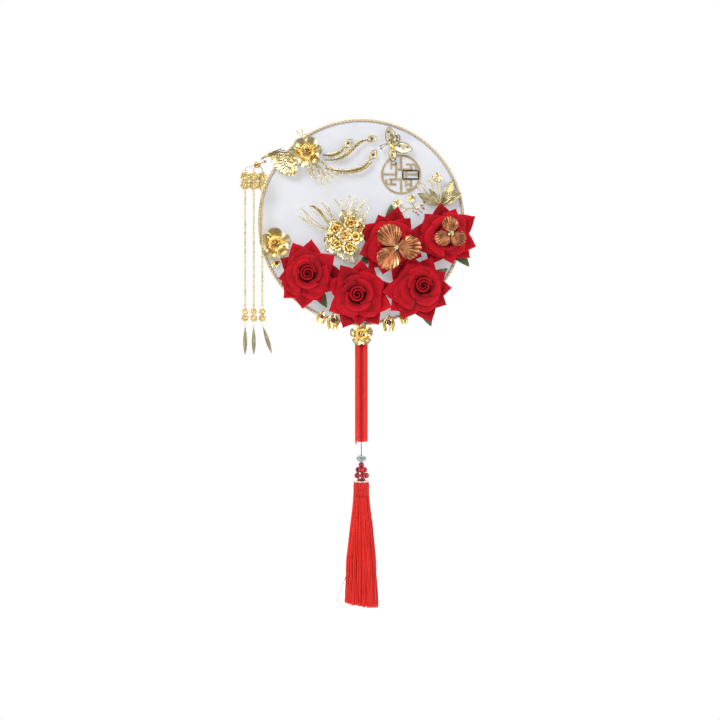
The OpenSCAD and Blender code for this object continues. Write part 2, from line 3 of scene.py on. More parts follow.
import bmesh
import bpy
import numpy as np
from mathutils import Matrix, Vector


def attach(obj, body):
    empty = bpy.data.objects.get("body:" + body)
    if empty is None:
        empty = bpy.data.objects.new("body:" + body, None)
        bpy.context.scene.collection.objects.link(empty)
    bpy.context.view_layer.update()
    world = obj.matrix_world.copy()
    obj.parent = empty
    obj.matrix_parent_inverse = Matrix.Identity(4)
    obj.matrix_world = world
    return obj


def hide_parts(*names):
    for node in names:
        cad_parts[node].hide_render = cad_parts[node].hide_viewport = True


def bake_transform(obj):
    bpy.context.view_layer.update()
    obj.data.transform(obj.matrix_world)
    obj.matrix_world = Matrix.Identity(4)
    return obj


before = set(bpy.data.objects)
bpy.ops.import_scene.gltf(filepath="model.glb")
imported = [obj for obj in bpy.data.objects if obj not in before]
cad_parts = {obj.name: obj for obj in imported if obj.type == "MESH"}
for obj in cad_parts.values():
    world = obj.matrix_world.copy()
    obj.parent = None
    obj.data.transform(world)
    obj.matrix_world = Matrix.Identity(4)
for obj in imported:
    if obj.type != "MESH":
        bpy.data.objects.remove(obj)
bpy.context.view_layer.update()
rng = np.random.default_rng(7)

# ---- Studio ----
# The fan hangs in front of a white sweep, lit by a soft box high on the left, a weaker one on the
# right, one above and behind, and a pale room. The camera has a long lens, level with the handle.
floor_z = -292.0
scene = bpy.context.scene
scene.view_settings.view_transform = "Standard"
camera = bpy.data.objects.new("camera", bpy.data.cameras.new("camera"))
camera.data.lens = 100
camera.data.sensor_width = 36
camera.location = (-0.0016, -2.4155, 0.0288)
camera.rotation_euler = (math.radians(90), 0, 0)
scene.collection.objects.link(camera)
scene.camera = camera


def add(tree, kind, inputs=None, **settings):
    """Adds a shader node; an input is a value to set or an output to link from."""
    new = tree.nodes.new("ShaderNode" + kind)
    for key, value in settings.items():
        setattr(new, key, value)
    for socket, value in (inputs or {}).items():
        if isinstance(value, bpy.types.NodeSocket):
            tree.links.new(value, new.inputs[socket])
        else:
            new.inputs[socket].default_value = value
    return new


def ramp(tree, factor, stops):
    """A colour ramp over (position, colour) stops; gives its colour output."""
    new = add(tree, "ValToRGB", {"Fac": factor})
    elements = new.color_ramp.elements
    for index, (position, colour) in enumerate(stops):
        element = elements[index] if index < 2 else elements.new(position)
        element.position = position
        element.color = (*colour, 1)
    return new.outputs["Color"]


def mixed(tree, factor, a, b, blend="MIX"):
    """Two colours mixed by a factor, or multiplied; gives the colour output."""
    return add(tree, "Mix", {0: factor, 6: a, 7: b}, data_type="RGBA", blend_type=blend).outputs[2]


def calc(tree, operation, a, b=0.5):
    """One sum on numbers; gives its output."""
    return add(tree, "Math", {0: a, 1: b}, operation=operation).outputs[0]


def coordinates(tree, kind="Object"):
    """Where a point lies: on the object, or on its UVs."""
    return add(tree, "TexCoord").outputs[kind]


def circle(count):
    """Evenly spaced angles once round, without the last that meets the first."""
    return np.linspace(0, 2 * np.pi, count, endpoint=False)


def polar(radius, angle, height):
    """Points at a radius and angle about the z axis, and at a height."""
    return np.stack(np.broadcast_arrays(radius * np.cos(angle), radius * np.sin(angle), height), -1)


world = bpy.data.worlds.new("room")
world.use_nodes = True
scene.world = world
tree = world.node_tree
tree.nodes.clear()
direction = add(tree, "SeparateXYZ", {0: coordinates(tree, "Generated")})
height = ramp(tree, calc(tree, "MULTIPLY_ADD", direction.outputs["Z"]), [
    (0.1, (0.34, 0.34, 0.35)), (0.45, (0.6, 0.6, 0.62)), (0.8, (1.1, 1.1, 1.12))])
front = ramp(tree, calc(tree, "MULTIPLY_ADD", direction.outputs["Y"]), [
    (0.05, (0.42, 0.42, 0.43)), (0.5, (1, 1, 1))])
room = mixed(tree, 1.0, height, front, "MULTIPLY")
seen = add(tree, "LightPath").outputs["Is Camera Ray"]
backdrop = add(tree, "Background", {"Color": mixed(tree, seen, room, (1, 1, 1, 1)), "Strength": 1.0})
tree.links.new(backdrop.outputs[0], add(tree, "OutputWorld").inputs[0])

lamp_rows = [("key", (-1.1, -1.5, 1.5), 0.9, 30), ("fill", (1.5, -1.5, 0.3), 1.1, 13),
             ("top", (0.2, 0.7, 1.6), 0.9, 14)]
lit_point = np.array([0, 0, 0.1])
for label, place, width, power in lamp_rows:
    lamp = bpy.data.objects.new(label, bpy.data.lights.new(label, "AREA"))
    lamp.data.energy = power
    lamp.data.size = width
    lamp.location = place
    lamp.rotation_euler = Vector(lit_point - np.array(place)).to_track_quat("-Z", "Y").to_euler()
    scene.collection.objects.link(lamp)


def material(name, **sockets):
    """A Principled material; each keyword is a socket's name, with _ for a space."""
    made = bpy.data.materials.new(name)
    made.use_nodes = True
    shader = made.node_tree.nodes["Principled BSDF"]
    for socket, value in sockets.items():
        shader.inputs[socket.replace("_", " ")].default_value = value
    return made, made.node_tree, shader


def coloured(tree, shader, factor, stops):
    """Feeds a colour ramp over a factor into the shader's base colour."""
    tree.links.new(ramp(tree, factor, stops), shader.inputs["Base Color"])


def net(points, around=False, along=False):
    """Quads over grids of points shaped (pieces, rows, columns, 3).

    around joins the last column to the first, and along the last row to the first.
    """
    points = np.asarray(points, float)
    if points.ndim == 3:
        points = points[None]
    count, rows, columns = points.shape[:3]
    i = np.arange(rows if along else rows - 1)[None, :, None]
    j = np.arange(columns if around else columns - 1)[None, None, :]
    base = np.arange(count)[:, None, None] * rows * columns
    i_next, j_next = (i + 1) % rows, (j + 1) % columns
    quads = np.stack([base + i * columns + j, base + i * columns + j_next,
                      base + i_next * columns + j_next, base + i_next * columns + j], -1)
    shape = quads.shape
    u = np.stack([j, j + 1, j + 1, j], -1) / max(j.size, 1)
    v = np.stack([i, i, i + 1, i + 1], -1) / max(i.size, 1)
    uv = np.stack([np.broadcast_to(u, shape), np.broadcast_to(v, shape)], -1)
    return points.reshape(-1, 3), quads.reshape(-1, 4), uv.reshape(-1, 2), np.repeat(
        np.arange(count), rows * columns)


def finished(name, nets, paint, smooth=True, wall=0):
    """One object at the origin from nets in millimetres, with UVs, and a random tone for each grid.

    wall gives sheets a thickness, half to each side.
    """
    offsets = np.cumsum([0] + [len(part[0]) for part in nets[:-1]])
    points = np.concatenate([part[0] for part in nets]) / 1000
    quads = np.concatenate([part[1] + offset for part, offset in zip(nets, offsets)])
    tones = np.concatenate([rng.random(part[3].max() + 1)[part[3]] for part in nets])
    mesh = bpy.data.meshes.new(name)
    mesh.vertices.add(len(points))
    mesh.vertices.foreach_set("co", points.ravel())
    mesh.loops.add(quads.size)
    mesh.loops.foreach_set("vertex_index", quads.ravel().astype(np.int32))
    mesh.polygons.add(len(quads))
    mesh.polygons.foreach_set("loop_start", np.arange(len(quads), dtype=np.int32) * 4)
    mesh.polygons.foreach_set("use_smooth", np.full(len(quads), smooth))
    mesh.update(calc_edges=True)
    mesh.uv_layers.new(name="UVMap").data.foreach_set(
        "uv", np.concatenate([part[2] for part in nets]).ravel())
    mesh.attributes.new("tone", "FLOAT", "POINT").data.foreach_set("value", tones)
    mesh.materials.append(paint)
    built = bmesh.new()
    built.from_mesh(mesh)
    bmesh.ops.remove_doubles(built, verts=built.verts, dist=1e-7)
    bmesh.ops.recalc_face_normals(built, faces=built.faces)
    built.to_mesh(mesh)
    built.free()
    made = bpy.data.objects.new(name, mesh)
    scene.collection.objects.link(made)
    if wall:
        solid = made.modifiers.new("wall", "SOLIDIFY")
        solid.thickness = wall / 1000
        solid.offset = 0
    return made


def piece(name, nets, paint, body, slot, nodes=(), smooth=True, wall=0):
    """A finished object that moves with a body, and stands for CAD nodes."""
    made = finished(name, nets, paint, smooth, wall)
    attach(made, body)
    if nodes:
        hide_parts(*nodes)
    return made


floor_paint, tree, shader = material("sweep", Base_Color=(1, 1, 1, 1), Roughness=0.9,
                                     Emission_Color=(1, 1, 1, 1), Emission_Strength=0.55)
ring = circle(96)
reach = np.array([0.0, 200, 500, 620])[:, None]
floor = finished("floor", [net(polar(reach, ring, floor_z), around=True)],
                 floor_paint)

# ---- Tassel cord and its knot ----
# A dark red two-ply silk cord, tied in a small knot that is glued up the dowel's end. It runs down
# through the beads and the cap, and is caught in the bound head.
knot_z, cord_r = -70.0, 0.6
route = np.array([[0, 0, z] for z in [-71.5, -74, *range(-77, -123, -3), -124]], float)


def spun(profile, sides, turns=None):
    """A profile of (radius, z) rows turned about the z axis; turns adds an angle to each row."""
    radius, z = np.asarray(profile, float).T
    start = 0 if turns is None else np.asarray(turns)[:, None]
    angle = circle(sides) + start
    return polar(radius[:, None], angle, z[:, None])


def tube(paths, radius, sides=6):
    """Round tubes, closed at both ends, along paths shaped (pieces, points, 3)."""
    paths = np.asarray(paths, float)
    if paths.ndim == 2:
        paths = paths[None]
    along = np.gradient(paths, axis=1)
    along /= np.linalg.norm(along, axis=-1, keepdims=True)
    side = np.cross(along, np.where(np.abs(along[..., 1:2]) < 0.9, [[[0.0, 1, 0]]], [[[1.0, 0, 0]]]))
    side /= np.linalg.norm(side, axis=-1, keepdims=True)
    up = np.cross(side, along)
    radius = np.broadcast_to(radius, paths.shape[:2]).copy()
    paths, side, up = (np.concatenate([a[:, :1], a, a[:, -1:]], 1) for a in (paths, side, up))
    radius = np.pad(radius, ((0, 0), (1, 1)))
    angle = circle(sides)[:, None]
    ring = side[:, :, None] * np.cos(angle) + up[:, :, None] * np.sin(angle)
    return net(paths[:, :, None] + radius[..., None, None] * ring, around=True)


def group(name, inputs, outputs):
    """A new node group of numbers; gives it, its input node's outputs and its end node's inputs."""
    made = bpy.data.node_groups.new(name, "ShaderNodeTree")
    for label, value in inputs.items():
        socket = made.interface.new_socket(label, in_out="INPUT", socket_type="NodeSocketFloat")
        socket.default_value = value
    for label in outputs:
        made.interface.new_socket(label, in_out="OUTPUT", socket_type="NodeSocketFloat")
    return made, made.nodes.new("NodeGroupInput").outputs, made.nodes.new("NodeGroupOutput").inputs


def grouped(tree, which, **values):
    """A use of a node group with its inputs set; gives its outputs."""
    new = add(tree, "Group", node_tree=which)
    for label, value in values.items():
        new.inputs[label].default_value = value
    return new.outputs


def bumped(tree, shader, height, distance, strength=1.0):
    """Feeds a height into the shader's normal as a bump, distance in metres."""
    bump = add(tree, "Bump", {"Height": height, "Distance": distance, "Strength": strength})
    tree.links.new(bump.outputs[0], shader.inputs["Normal"])


# Stripes of thread round and along the UVs, worn unevenly by a cloud of noise.
threads, given, out = group("threads", {"Across": 10, "Along": 60, "Cloud": 300}, ("Groove", "Cloud"))
place = add(threads, "TexCoord").outputs
uv = add(threads, "SeparateXYZ", {0: place["UV"]}).outputs
phase = calc(threads, "ADD", calc(threads, "MULTIPLY", uv["X"], given["Across"]),
             calc(threads, "MULTIPLY", uv["Y"], given["Along"]))
wave = calc(threads, "ABSOLUTE", calc(threads, "SINE", calc(threads, "MULTIPLY", phase, math.pi)))
threads.links.new(calc(threads, "POWER", wave, 0.6), out["Groove"])
cloud = add(threads, "TexNoise", {"Vector": place["Object"], "Scale": given["Cloud"], "Detail": 3.0})
threads.links.new(cloud.outputs["Fac"], out["Cloud"])


def weighed(tree, a, a_share, b, b_share):
    """Two numbers, each times its share, summed; gives the output."""
    return calc(tree, "ADD", calc(tree, "MULTIPLY", a, a_share), calc(tree, "MULTIPLY", b, b_share))


def own_tone(tree):
    """The random tone that each grid of a mesh carries; gives its output."""
    return add(tree, "Attribute", attribute_name="tone").outputs["Fac"]


def silk(name, dark, bright, across, along, cloud=300, roughness=0.35, depth=0.0002, sheen=0.4):
    """Lustrous thread: grooves darker than the strands, cloudy tone, a soft sheen and a bump."""
    made, tree, shader = material(name, Roughness=roughness, Sheen_Weight=sheen, Sheen_Roughness=0.35,
                                  Specular_IOR_Level=0.22)
    run = grouped(tree, threads, Across=across, Along=along, Cloud=cloud)
    tone = own_tone(tree)
    blend = weighed(tree, run["Groove"], 0.55, calc(tree, "ADD", tone, run["Cloud"]), 0.3)
    coloured(tree, shader, blend, [(0.15, dark), (0.85, bright)])
    shader.inputs["Sheen Tint"].default_value = (*bright, 1)
    bumped(tree, shader, run["Groove"], depth)
    return made


cord_silk = silk("cord silk", (0.12, 0.01, 0.02), (0.42, 0.06, 0.09), 2, 45)
steps = np.linspace(0, 1, 220)
cord_z = np.interp(steps, np.linspace(0, 1, len(route)), route[:, 2])[:, None]
ply = circle(12)
ply_r = cord_r * (0.78 + 0.22 * np.abs(np.cos(ply[None] - 70 * steps[:, None])))
ply_r[[0, -1]] = 0
cord = piece("tassel_cord_silk", [net(polar(ply_r, ply, cord_z),
                                      around=True)], cord_silk, "tassel", "cord_silk", ["tassel_cord"])
turn = np.linspace(0, 2 * np.pi, 90)
knot_r = 0.62 + 0.28 * np.cos(3 * turn)
knot_path = polar(knot_r, 2 * turn, knot_z + 0.5 * np.sin(3 * turn))
piece("tassel_knot_silk", [tube(knot_path, 0.4, 8)], cord_silk, "knot", "cord_silk", ["tassel_knot"])

# ---- Beads and cap ----
# A clear cut-crystal rondelle, then red cut-glass beads in rows of one, three and five, and a
# pressed pale cap whose scalloped edge sits on the bound head.
bore_r, bead_r = 0.72, 3.55
clear_z, top_z, middle_z, lower_z = -90.2, -98.0, -103.88, -110.74
crystal, tree, shader = material("crystal", Base_Color=(0.72, 0.8, 0.76, 1), Roughness=0.06, IOR=1.52,
                                 Transmission_Weight=0.72)
haze = add(tree, "TexNoise", {"Vector": coordinates(tree), "Scale": 500.0})
coloured(tree, shader, haze.outputs["Fac"], [(0.3, (0.32, 0.4, 0.37)), (0.7, (0.6, 0.68, 0.65))])
cut = [(bore_r, -4.3), (2.6, -4.3), (5, -2.6), (6, -0.9), (6, 0.9), (5, 2.6), (2.6, 4.3), (bore_r, 4.3)]
offset = np.array([0, 0, 1, 0, 0, 1, 0, 0]) * math.pi / 12
rondelle = net(spun(cut, 12, offset) + [0, 0, clear_z], around=True, along=True)
clear = piece("clear_bead_cut", [rondelle], crystal, "tassel", "crystal", ["clear_bead"], smooth=False)

ruby, tree, shader = material("red cut glass", Roughness=0.1, Coat_Weight=0.15, Coat_Roughness=0.05,
                              Specular_IOR_Level=0.3)
tone = own_tone(tree)
haze = add(tree, "TexNoise", {"Vector": coordinates(tree), "Scale": 700.0})
depth = weighed(tree, tone, 0.4, haze.outputs["Fac"], 0.8)
coloured(tree, shader, depth, [(0.2, (0.12, 0.001, 0.003)), (0.85, (0.5, 0.004, 0.014))])
ball = np.linspace(-np.pi / 2, np.pi / 2, 7)
facets = spun(bead_r * np.stack([np.cos(ball), np.sin(ball)], -1), 10, np.arange(7) % 2 * math.pi / 10)


def row_of_beads(count, z, start):
    """count beads side by side about the cord, at height z."""
    radius = 0.0 if count == 1 else max(3.5 / math.sin(math.pi / count), 4.22) + 0.12
    angle = start + np.arange(count) * 2 * np.pi / count
    centres = polar(radius, angle, np.full(count, z))
    return net(facets[None] + centres[:, None, None], around=True)


beads = [piece(name, [row_of_beads(count, z, start)], ruby, "tassel", "ruby", [node], smooth=False)
         for name, count, z, start, node in (
             ("red_bead_cut_top", 1, top_z, 0, "red_bead_top"),
             ("red_beads_cut_middle", 3, middle_z, math.pi / 6, "red_beads_middle"),
             ("red_beads_cut_lower", 5, lower_z, 0, "red_beads_lower"))]

# Blotches of tarnish and the tiny hammer marks of pressed, gilded sheet.
gilding, given, out = group("gilding", {"Size": 90}, ("Tarnish", "Height"))
place = coordinates(gilding)
blotch = add(gilding, "TexNoise", {"Vector": place, "Scale": given["Size"], "Detail": 4.0,
                                   "Roughness": 0.6})
gilding.links.new(blotch.outputs["Fac"], out["Tarnish"])
marks = add(gilding, "TexVoronoi", {"Vector": place,
                                    "Scale": calc(gilding, "MULTIPLY", given["Size"], 9.0)},
            feature="SMOOTH_F1")
gilding.links.new(calc(gilding, "ADD", marks.outputs["Distance"], blotch.outputs["Fac"]), out["Height"])


def gilded(name, dark, bright, low=0.12, high=0.36, size=90, metal=1.0):
    """Bright metal: tarnish blotches change its colour and roughness, with faint hammer marks."""
    made, tree, shader = material(name, Metallic=metal, Coat_Weight=0.25, Coat_Roughness=0.1)
    skin = grouped(tree, gilding, Size=size)
    tone = own_tone(tree)
    blend = calc(tree, "ADD", calc(tree, "MULTIPLY", tone, 0.25), skin["Tarnish"])
    coloured(tree, shader, blend, [(0.38, dark), (0.68, bright)])
    rough = add(tree, "MapRange", {"Value": skin["Tarnish"], "From Min": 0.3, "From Max": 0.7,
                                   "To Min": high, "To Max": low})
    tree.links.new(rough.outputs[0], shader.inputs["Roughness"])
    bumped(tree, shader, skin["Height"], 0.00012, 0.6)
    return made


cap_metal = gilded("cap metal", (0.5, 0.45, 0.38), (0.86, 0.83, 0.78), size=300)
around = circle(96)
cap_rows = np.array([(bore_r, -114.4), (4.1, -114.3), (4.7, -115.0), (6.2, -116.6), (8.6, -117.3),
                     (8.9, -118.0), (6.0, -117.3), (bore_r, -116.4)])
scallop = np.abs(np.sin(4.5 * around))
cap_mesh = spun(cap_rows, 96)
cap_mesh[..., :2] *= (1 + 0.1 * scallop * np.array([0, 0, 0, 0.3, 1, 1, 0.3, 0])[:, None])[..., None]
cap_mesh[4:6, :, 2] -= 0.7 * scallop
cap = piece("bead_cap_pressed", [net(cap_mesh, around=True, along=True)], cap_metal, "tassel",
            "cap_metal", ["bead_cap"])

# ---- Tassel head and threads ----
# Glossy red rayon silk. The threads are laid over the cord's end, bound under a smooth head of the
# same thread, and hang loose below it, cut a little aslant.
head_top, head_foot, head_wide = -117.84, -133.84, 9.2
thread_top, thread_foot, strand_count, thread_count = -132.5, -274.0, 150, 620
tassel_silk = silk("tassel silk", (0.3, 0.004, 0.005), (0.74, 0.026, 0.018), 1, 0, cloud=160,
                   roughness=0.38, depth=0.00005, sheen=0.1)
head_silk = silk("bound head silk", (0.3, 0.004, 0.005), (0.74, 0.03, 0.022), 70, 4, cloud=90,
                 roughness=0.36, sheen=0.1)
fall = np.linspace(0, 1, 40)
head_r = head_wide * np.clip(np.sin(np.pi * np.clip(fall * 2.6 + 0.28, 0, 0.5)), 0, 1)
head_r[[0, -1]] = 0, 0
head_z = head_top - 0.1 + (head_foot - head_top) * np.maximum(fall - 0.02, 0)
head_mesh = spun(np.stack([head_r, head_z], -1), 240)
head_mesh[..., :2] *= (1 + 0.018 * np.abs(np.sin(np.linspace(0, 60 * np.pi, 240, endpoint=False)))
                       + 0.012 * rng.standard_normal(240).cumsum() / 12)[None, :, None]
strands = circle(strand_count)
strands = strands + rng.uniform(-0.02, 0.02, strand_count)
down = np.linspace(0, 1, 22)
swell = np.interp(down, [0, 0.05, 0.12, 0.25, 1], [0.35, 0.8, 0.97, 1.0, 1.0]) * 9.15
twist = strands[:, None] + rng.uniform(-0.05, 0.05, (strand_count, 1)) * down
laid = polar(swell, twist, head_top + (head_foot - head_top - 1.5) * down)
strand_r = 0.28 + 0.2 * rng.random((strand_count, 1))
head = piece("tassel_head_bound", [net(head_mesh, around=True), tube(laid, strand_r, 5)], head_silk,
             "tassel", "tassel_silk", ["tassel_head"])


def skirt_radius(z):
    """The bundle's radius at height z, from the binding to the cut ends."""
    return np.interp(z, [-275, -262, -212, -170, -150, -133], [20.4, 20.4, 17.6, 13.2, 10.6, 9.2])


def each(low, high):
    """A column of random numbers, one for each thread."""
    return rng.uniform(low, high, (thread_count, 1))


share = np.sqrt(each(0.35, 1))
angle = each(0, 2 * np.pi)
foot_z = thread_foot + 6 - 6 * share * np.cos(angle) * 0.5 + each(0, 3.5)
run = np.linspace(0, 1, 30)
z = thread_top + (foot_z - thread_top) * run
sway = each(-0.16, 0.16) * run + 0.035 * np.sin(run * each(6, 16) + each(0, 6.3)) * run
bundle = share * skirt_radius(z) * (1 + 0.02 * np.sin(run * 9 + each(0, 6.3)))
path = np.stack([bundle * np.cos(angle + sway), bundle * np.sin(angle + sway) * 0.9, z], -1)
core_z = np.linspace(-133, thread_foot + 9, 30)
core_r = skirt_radius(core_z) * 0.8
core_r[[0, -1]] = 0
core_mesh = spun(np.stack([core_r, core_z], -1), 64)
core_turn = circle(64)[None, :, None]
core_mesh[..., :2] *= 1 + 0.06 * np.sin(17 * core_turn)
stray = np.stack([-16.5 - 14 * run ** 1.3, -2 - 3 * run, -222 - 40 * run], -1)
thread_r = 0.34 + 0.2 * rng.random((thread_count, 1))
skirt = finished("tassel_threads", [tube(path, thread_r, 4), net(core_mesh, around=True),
                                    tube(stray, 0.62, 5)], tassel_silk)
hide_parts("tassel_skirt")
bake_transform(skirt)

# ---- Hoop, trim and gauze ----
# A drawn steel band bent round and run down into the handle. Sheer white organza is glued across
# it, and a twisted pale gold braid covers the edge on both faces.
hoop_z, hoop_r, trim_open, trim_r, gauze_r = 195.5, 125.0, 0.024, 2.0, 121.0
weave_pitch = 0.00045


def dressed(name, paint):
    """Gives a CAD node its own material."""
    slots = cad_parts[name].data.materials
    slots.clear()
    slots.append(paint)


steel = gilded("drawn steel", (0.4, 0.4, 0.42), (0.7, 0.7, 0.72), 0.25, 0.45, 200)
dressed("hoop_ring", steel)
trim_silk = silk("gold braid", (0.1, 0.055, 0.03), (0.68, 0.55, 0.38), 2, 166.73, cloud=120,
                 roughness=0.42)
sweep = np.linspace(trim_open - np.pi / 2, 1.5 * np.pi - trim_open, 2600)[:, None]
section = circle(16)
ridge = 1 - 0.22 * (1 - np.abs(np.sin(section + 84 * (sweep - sweep[0]))) ** 0.7)
ridge[[0, -1]] = 0
radial = hoop_r - trim_r + trim_r * ridge * np.cos(section)
trim = net(np.stack([radial * np.cos(sweep), -2.25 * ridge * np.sin(section),
                     hoop_z + radial * np.sin(sweep)], -1), around=True)
piece("hoop_trim_braid", [trim], trim_silk, "fan", "trim_braid", ["rim_trim"])

thread_step = math.pi / weave_pitch
gauze, tree, shader = material("organza", Roughness=0.55, Sheen_Weight=0.3)
place = add(tree, "SeparateXYZ", {0: coordinates(tree)}).outputs
weave = [calc(tree, "ABSOLUTE", calc(tree, "SINE", calc(tree, "MULTIPLY", place[axis], thread_step)))
         for axis in ("X", "Z")]
crossing = calc(tree, "MAXIMUM", *weave)
cloud = add(tree, "TexNoise", {"Vector": coordinates(tree), "Scale": 30.0}).outputs["Fac"]
coloured(tree, shader, cloud, [(0.3, (0.63, 0.65, 0.71)), (0.7, (0.7, 0.71, 0.76))])
see = add(tree, "MapRange", {"Value": crossing, "From Min": 0.5, "To Min": 0.45, "To Max": 0.85})
tree.links.new(see.outputs[0], shader.inputs["Alpha"])
bumped(tree, shader, crossing, 0.00006)
disc_r = np.linspace(0, gauze_r, 60)[:, None]
angle = circle(180)
slack = 0.12 * np.sin(disc_r / 17 + 2 * np.sin(3 * angle)) * (1 - (disc_r / gauze_r) ** 6)
disc = net(np.stack([disc_r * np.cos(angle), slack, hoop_z + disc_r * np.sin(angle)], -1), around=True)
cloth = piece("gauze_cloth", [disc], gauze, "fan", "gauze", ["gauze_panel"])

# ---- Handle ----
# A turned birch dowel under four lengthwise ribs of braided red silk, tied off at the foot with a
# short loose end, and closed at the top by a brass ferrule.
rib_r, ring_r, dowel_r = 3.85, 5.5, 4.02
braid_top, braid_foot = 60.0, -70.0
wood, tree, shader = material("birch", Roughness=0.55)
place = add(tree, "Mapping", {0: coordinates(tree), "Scale": (900, 900, 25)})
grain = add(tree, "TexNoise", {"Vector": place.outputs[0], "Scale": 1.0, "Detail": 4.0}).outputs["Fac"]
coloured(tree, shader, grain, [(0.3, (0.42, 0.26, 0.13)), (0.7, (0.72, 0.54, 0.33))])
bumped(tree, shader, grain, 0.0001)
dressed("handle_dowel", wood)

brass = gilded("gilded brass", (0.56, 0.36, 0.12), (0.96, 0.78, 0.42))
dressed("handle_ferrule", brass)

handle_silk = silk("handle silk", (0.3, 0.004, 0.003), (0.84, 0.034, 0.024), 64, 96, cloud=120,
                   roughness=0.4, depth=0.00025, sheen=0.08)
tree = handle_silk.node_tree
shader = tree.nodes["Principled BSDF"]
plain = shader.inputs["Base Color"].links[0].from_socket
# Painted shade: the silk's colour is multiplied darker along the four valleys between the ribs, where
# shade falls.
painted_valley_shade = ramp(tree, grouped(tree, threads, Across=4, Along=0)["Groove"],
              [(0.7, (1, 1, 1)), (1.0, (0.7, 0.62, 0.62))])
tree.links.new(mixed(tree, 1.0, plain, painted_valley_shade, "MULTIPLY"), shader.inputs["Base Color"])
columns = circle(112)
off_rib = (columns + np.pi / 4) % (np.pi / 2) - np.pi / 4
columns = columns + np.pi / 4
half_chord = np.sqrt(np.maximum(rib_r ** 2 - (ring_r * np.sin(off_rib)) ** 2, 0.08))
outline = ring_r * np.cos(off_rib) + half_chord
z = np.linspace(braid_top, braid_foot, 420)[:, None]
plait = 0.2 * np.abs(np.sin(z * 1.15 + 9 * np.abs(off_rib)))
near_foot, near_top = (z - braid_foot) / 3.5, (braid_top - z) / 2
ends = 1 - 0.14 * np.clip(1 - near_foot, 0, 1) ** 2 - 0.06 * np.clip(1 - near_top, 0, 1)
radius = np.maximum((outline - 0.2 + plait) * ends, 5.4 + 0.5 * plait)
radius[[0, -1]] = dowel_r
braid = polar(radius, columns, z)
loose = np.linspace(0, 1, 14)
tails = [np.stack([-5.6 - 0.5 * k * 0.6 - 0.8 * loose, -3.0 + 0.4 * k + 0 * loose,
                   -64 - (9.3 - 0.8 * k) * loose], -1) for k in range(4)]
piece("handle_silk_braid", [net(braid, around=True, along=True), tube(np.array(tails), 0.45, 6)],
      handle_silk, "fan", "handle_silk", ["handle_braid"])

# ---- Roses ----
# Five roses cut from red velvet. Each has two rows of outer petals whose edges are ironed back to
# sharp tips, three rows of cupped petals and a heart wound from one strip, all glued to a calyx.
# Each row: x and z as shares of the hoop's radius, calyx height, turn in degrees, size, and how far
# the heart leans to the right and up.
rose_rows = [(-0.515, -0.512, 4.0, 8, 1.05, 0, 1), (-0.022, -0.715, 7.5, 20, 1.07, -2, 1),
             (0.53, -0.655, 11.0, 0, 1.06, 8, 4), (0.275, -0.205, 4.0, 14, 1.05, 2, -1),
             (0.795, -0.14, 7.5, 26, 1.04, 3, 1)]


def on_face(points, x, z, depth=0.0):
    """Moves points from a face's own right, up and outward millimetres to the fan's frame."""
    points = np.asarray(points, float)
    return np.stack([hoop_r * x + points[..., 0], -0.15 - depth - points[..., 2],
                     hoop_z + hoop_r * z + points[..., 1]], -1)


def turned(points, degrees):
    """Turns points about the outward axis."""
    c, s = math.cos(math.radians(degrees)), math.sin(math.radians(degrees))
    return np.stack([points[..., 0] * c - points[..., 1] * s, points[..., 0] * s + points[..., 1] * c,
                     points[..., 2]], -1)


def petals(count, foot, tip, half_angle, turn=0.0, notch=0.3, power=0.8, flare=1.0, arch=0.62, roll=1.0,
           overlap=0.0, spread=1.0, fine=(18, 25)):
    """A ring of petals about the outward axis.

    foot and tip are (radius, height). Along a petal, t runs from foot to tip and s from side to
    side. The reach is 1 - notch |s|^power, the height is a sine up to arch half-turns of t, and the
    sides roll back by roll |s|^4 t. overlap lifts one side over the next petal.
    """
    t, s = np.meshgrid(np.linspace(0, 1, fine[0]), np.linspace(-1, 1, fine[1]), indexing="ij")
    vary = rng.uniform(-1, 1, (6, count, 1, 1)) * spread
    reach = 1 - notch * np.abs(s) ** power
    r = foot[0] + (tip[0] * (1 + 0.04 * vary[0]) - foot[0]) * reach * t ** flare + overlap * s * t
    climb = np.sin(t * np.pi * arch) / math.sin(np.pi * min(arch, 0.5))
    z = foot[1] + (tip[1] + 0.5 * vary[1] - foot[1]) * climb - roll * np.abs(s) ** 4 * t
    z = z + 0.35 * overlap * s * t + 0.4 * np.sin((3 + vary[2]) * s * 2 + 6 * vary[3]) * t ** 2
    a = np.radians(turn + np.arange(count)[:, None, None] * 360 / count + 4 * vary[4]
                   + s * half_angle * (0.72 + 0.28 * np.sin(np.pi * np.clip(t, 0, 0.5))))
    return polar(r, a, z)


# Short pile: lighter where it lies over, darker where it stands, with a fine tooth.
nap, given, out = group("nap", {"Size": 1}, ("Lay", "Height"))
place = coordinates(nap)
lay = add(nap, "TexNoise", {"Vector": place, "Scale": calc(nap, "MULTIPLY", given["Size"], 110.0),
                            "Detail": 3.0})
nap.links.new(lay.outputs["Fac"], out["Lay"])
tooth = add(nap, "TexNoise", {"Vector": place, "Scale": calc(nap, "MULTIPLY", given["Size"], 3000.0)})
nap.links.new(tooth.outputs["Fac"], out["Height"])

velvet, tree, shader = material("red velvet", Roughness=0.85, Sheen_Weight=0.26, Sheen_Roughness=0.32,
                                Sheen_Tint=(1, 0.12, 0.16, 1), Specular_IOR_Level=0.2)
pile = grouped(tree, nap, Size=1)
across = add(tree, "SeparateXYZ", {0: coordinates(tree, "UV")}).outputs
tone = own_tone(tree)
# Painted shade: each petal and the heart's strip is multiplied darker from its edge down towards its
# foot, standing in for the shade deep between the petals and round the heart.
lift = ramp(tree, across["Y"], [(0.25, (0.1, 0.06, 0.08)), (0.7, (0.62, 0.55, 0.58)),
                                (0.98, (1, 1, 1))])
shade = weighed(tree, tone, 0.3, pile["Lay"], 0.7)
colour = ramp(tree, shade, [(0.2, (0.26, 0.001, 0.006)), (0.8, (0.68, 0.003, 0.016))])
tree.links.new(mixed(tree, 1.0, colour, lift, "MULTIPLY"), shader.inputs["Base Color"])
bumped(tree, shader, pile["Height"], 0.00015, 0.5)

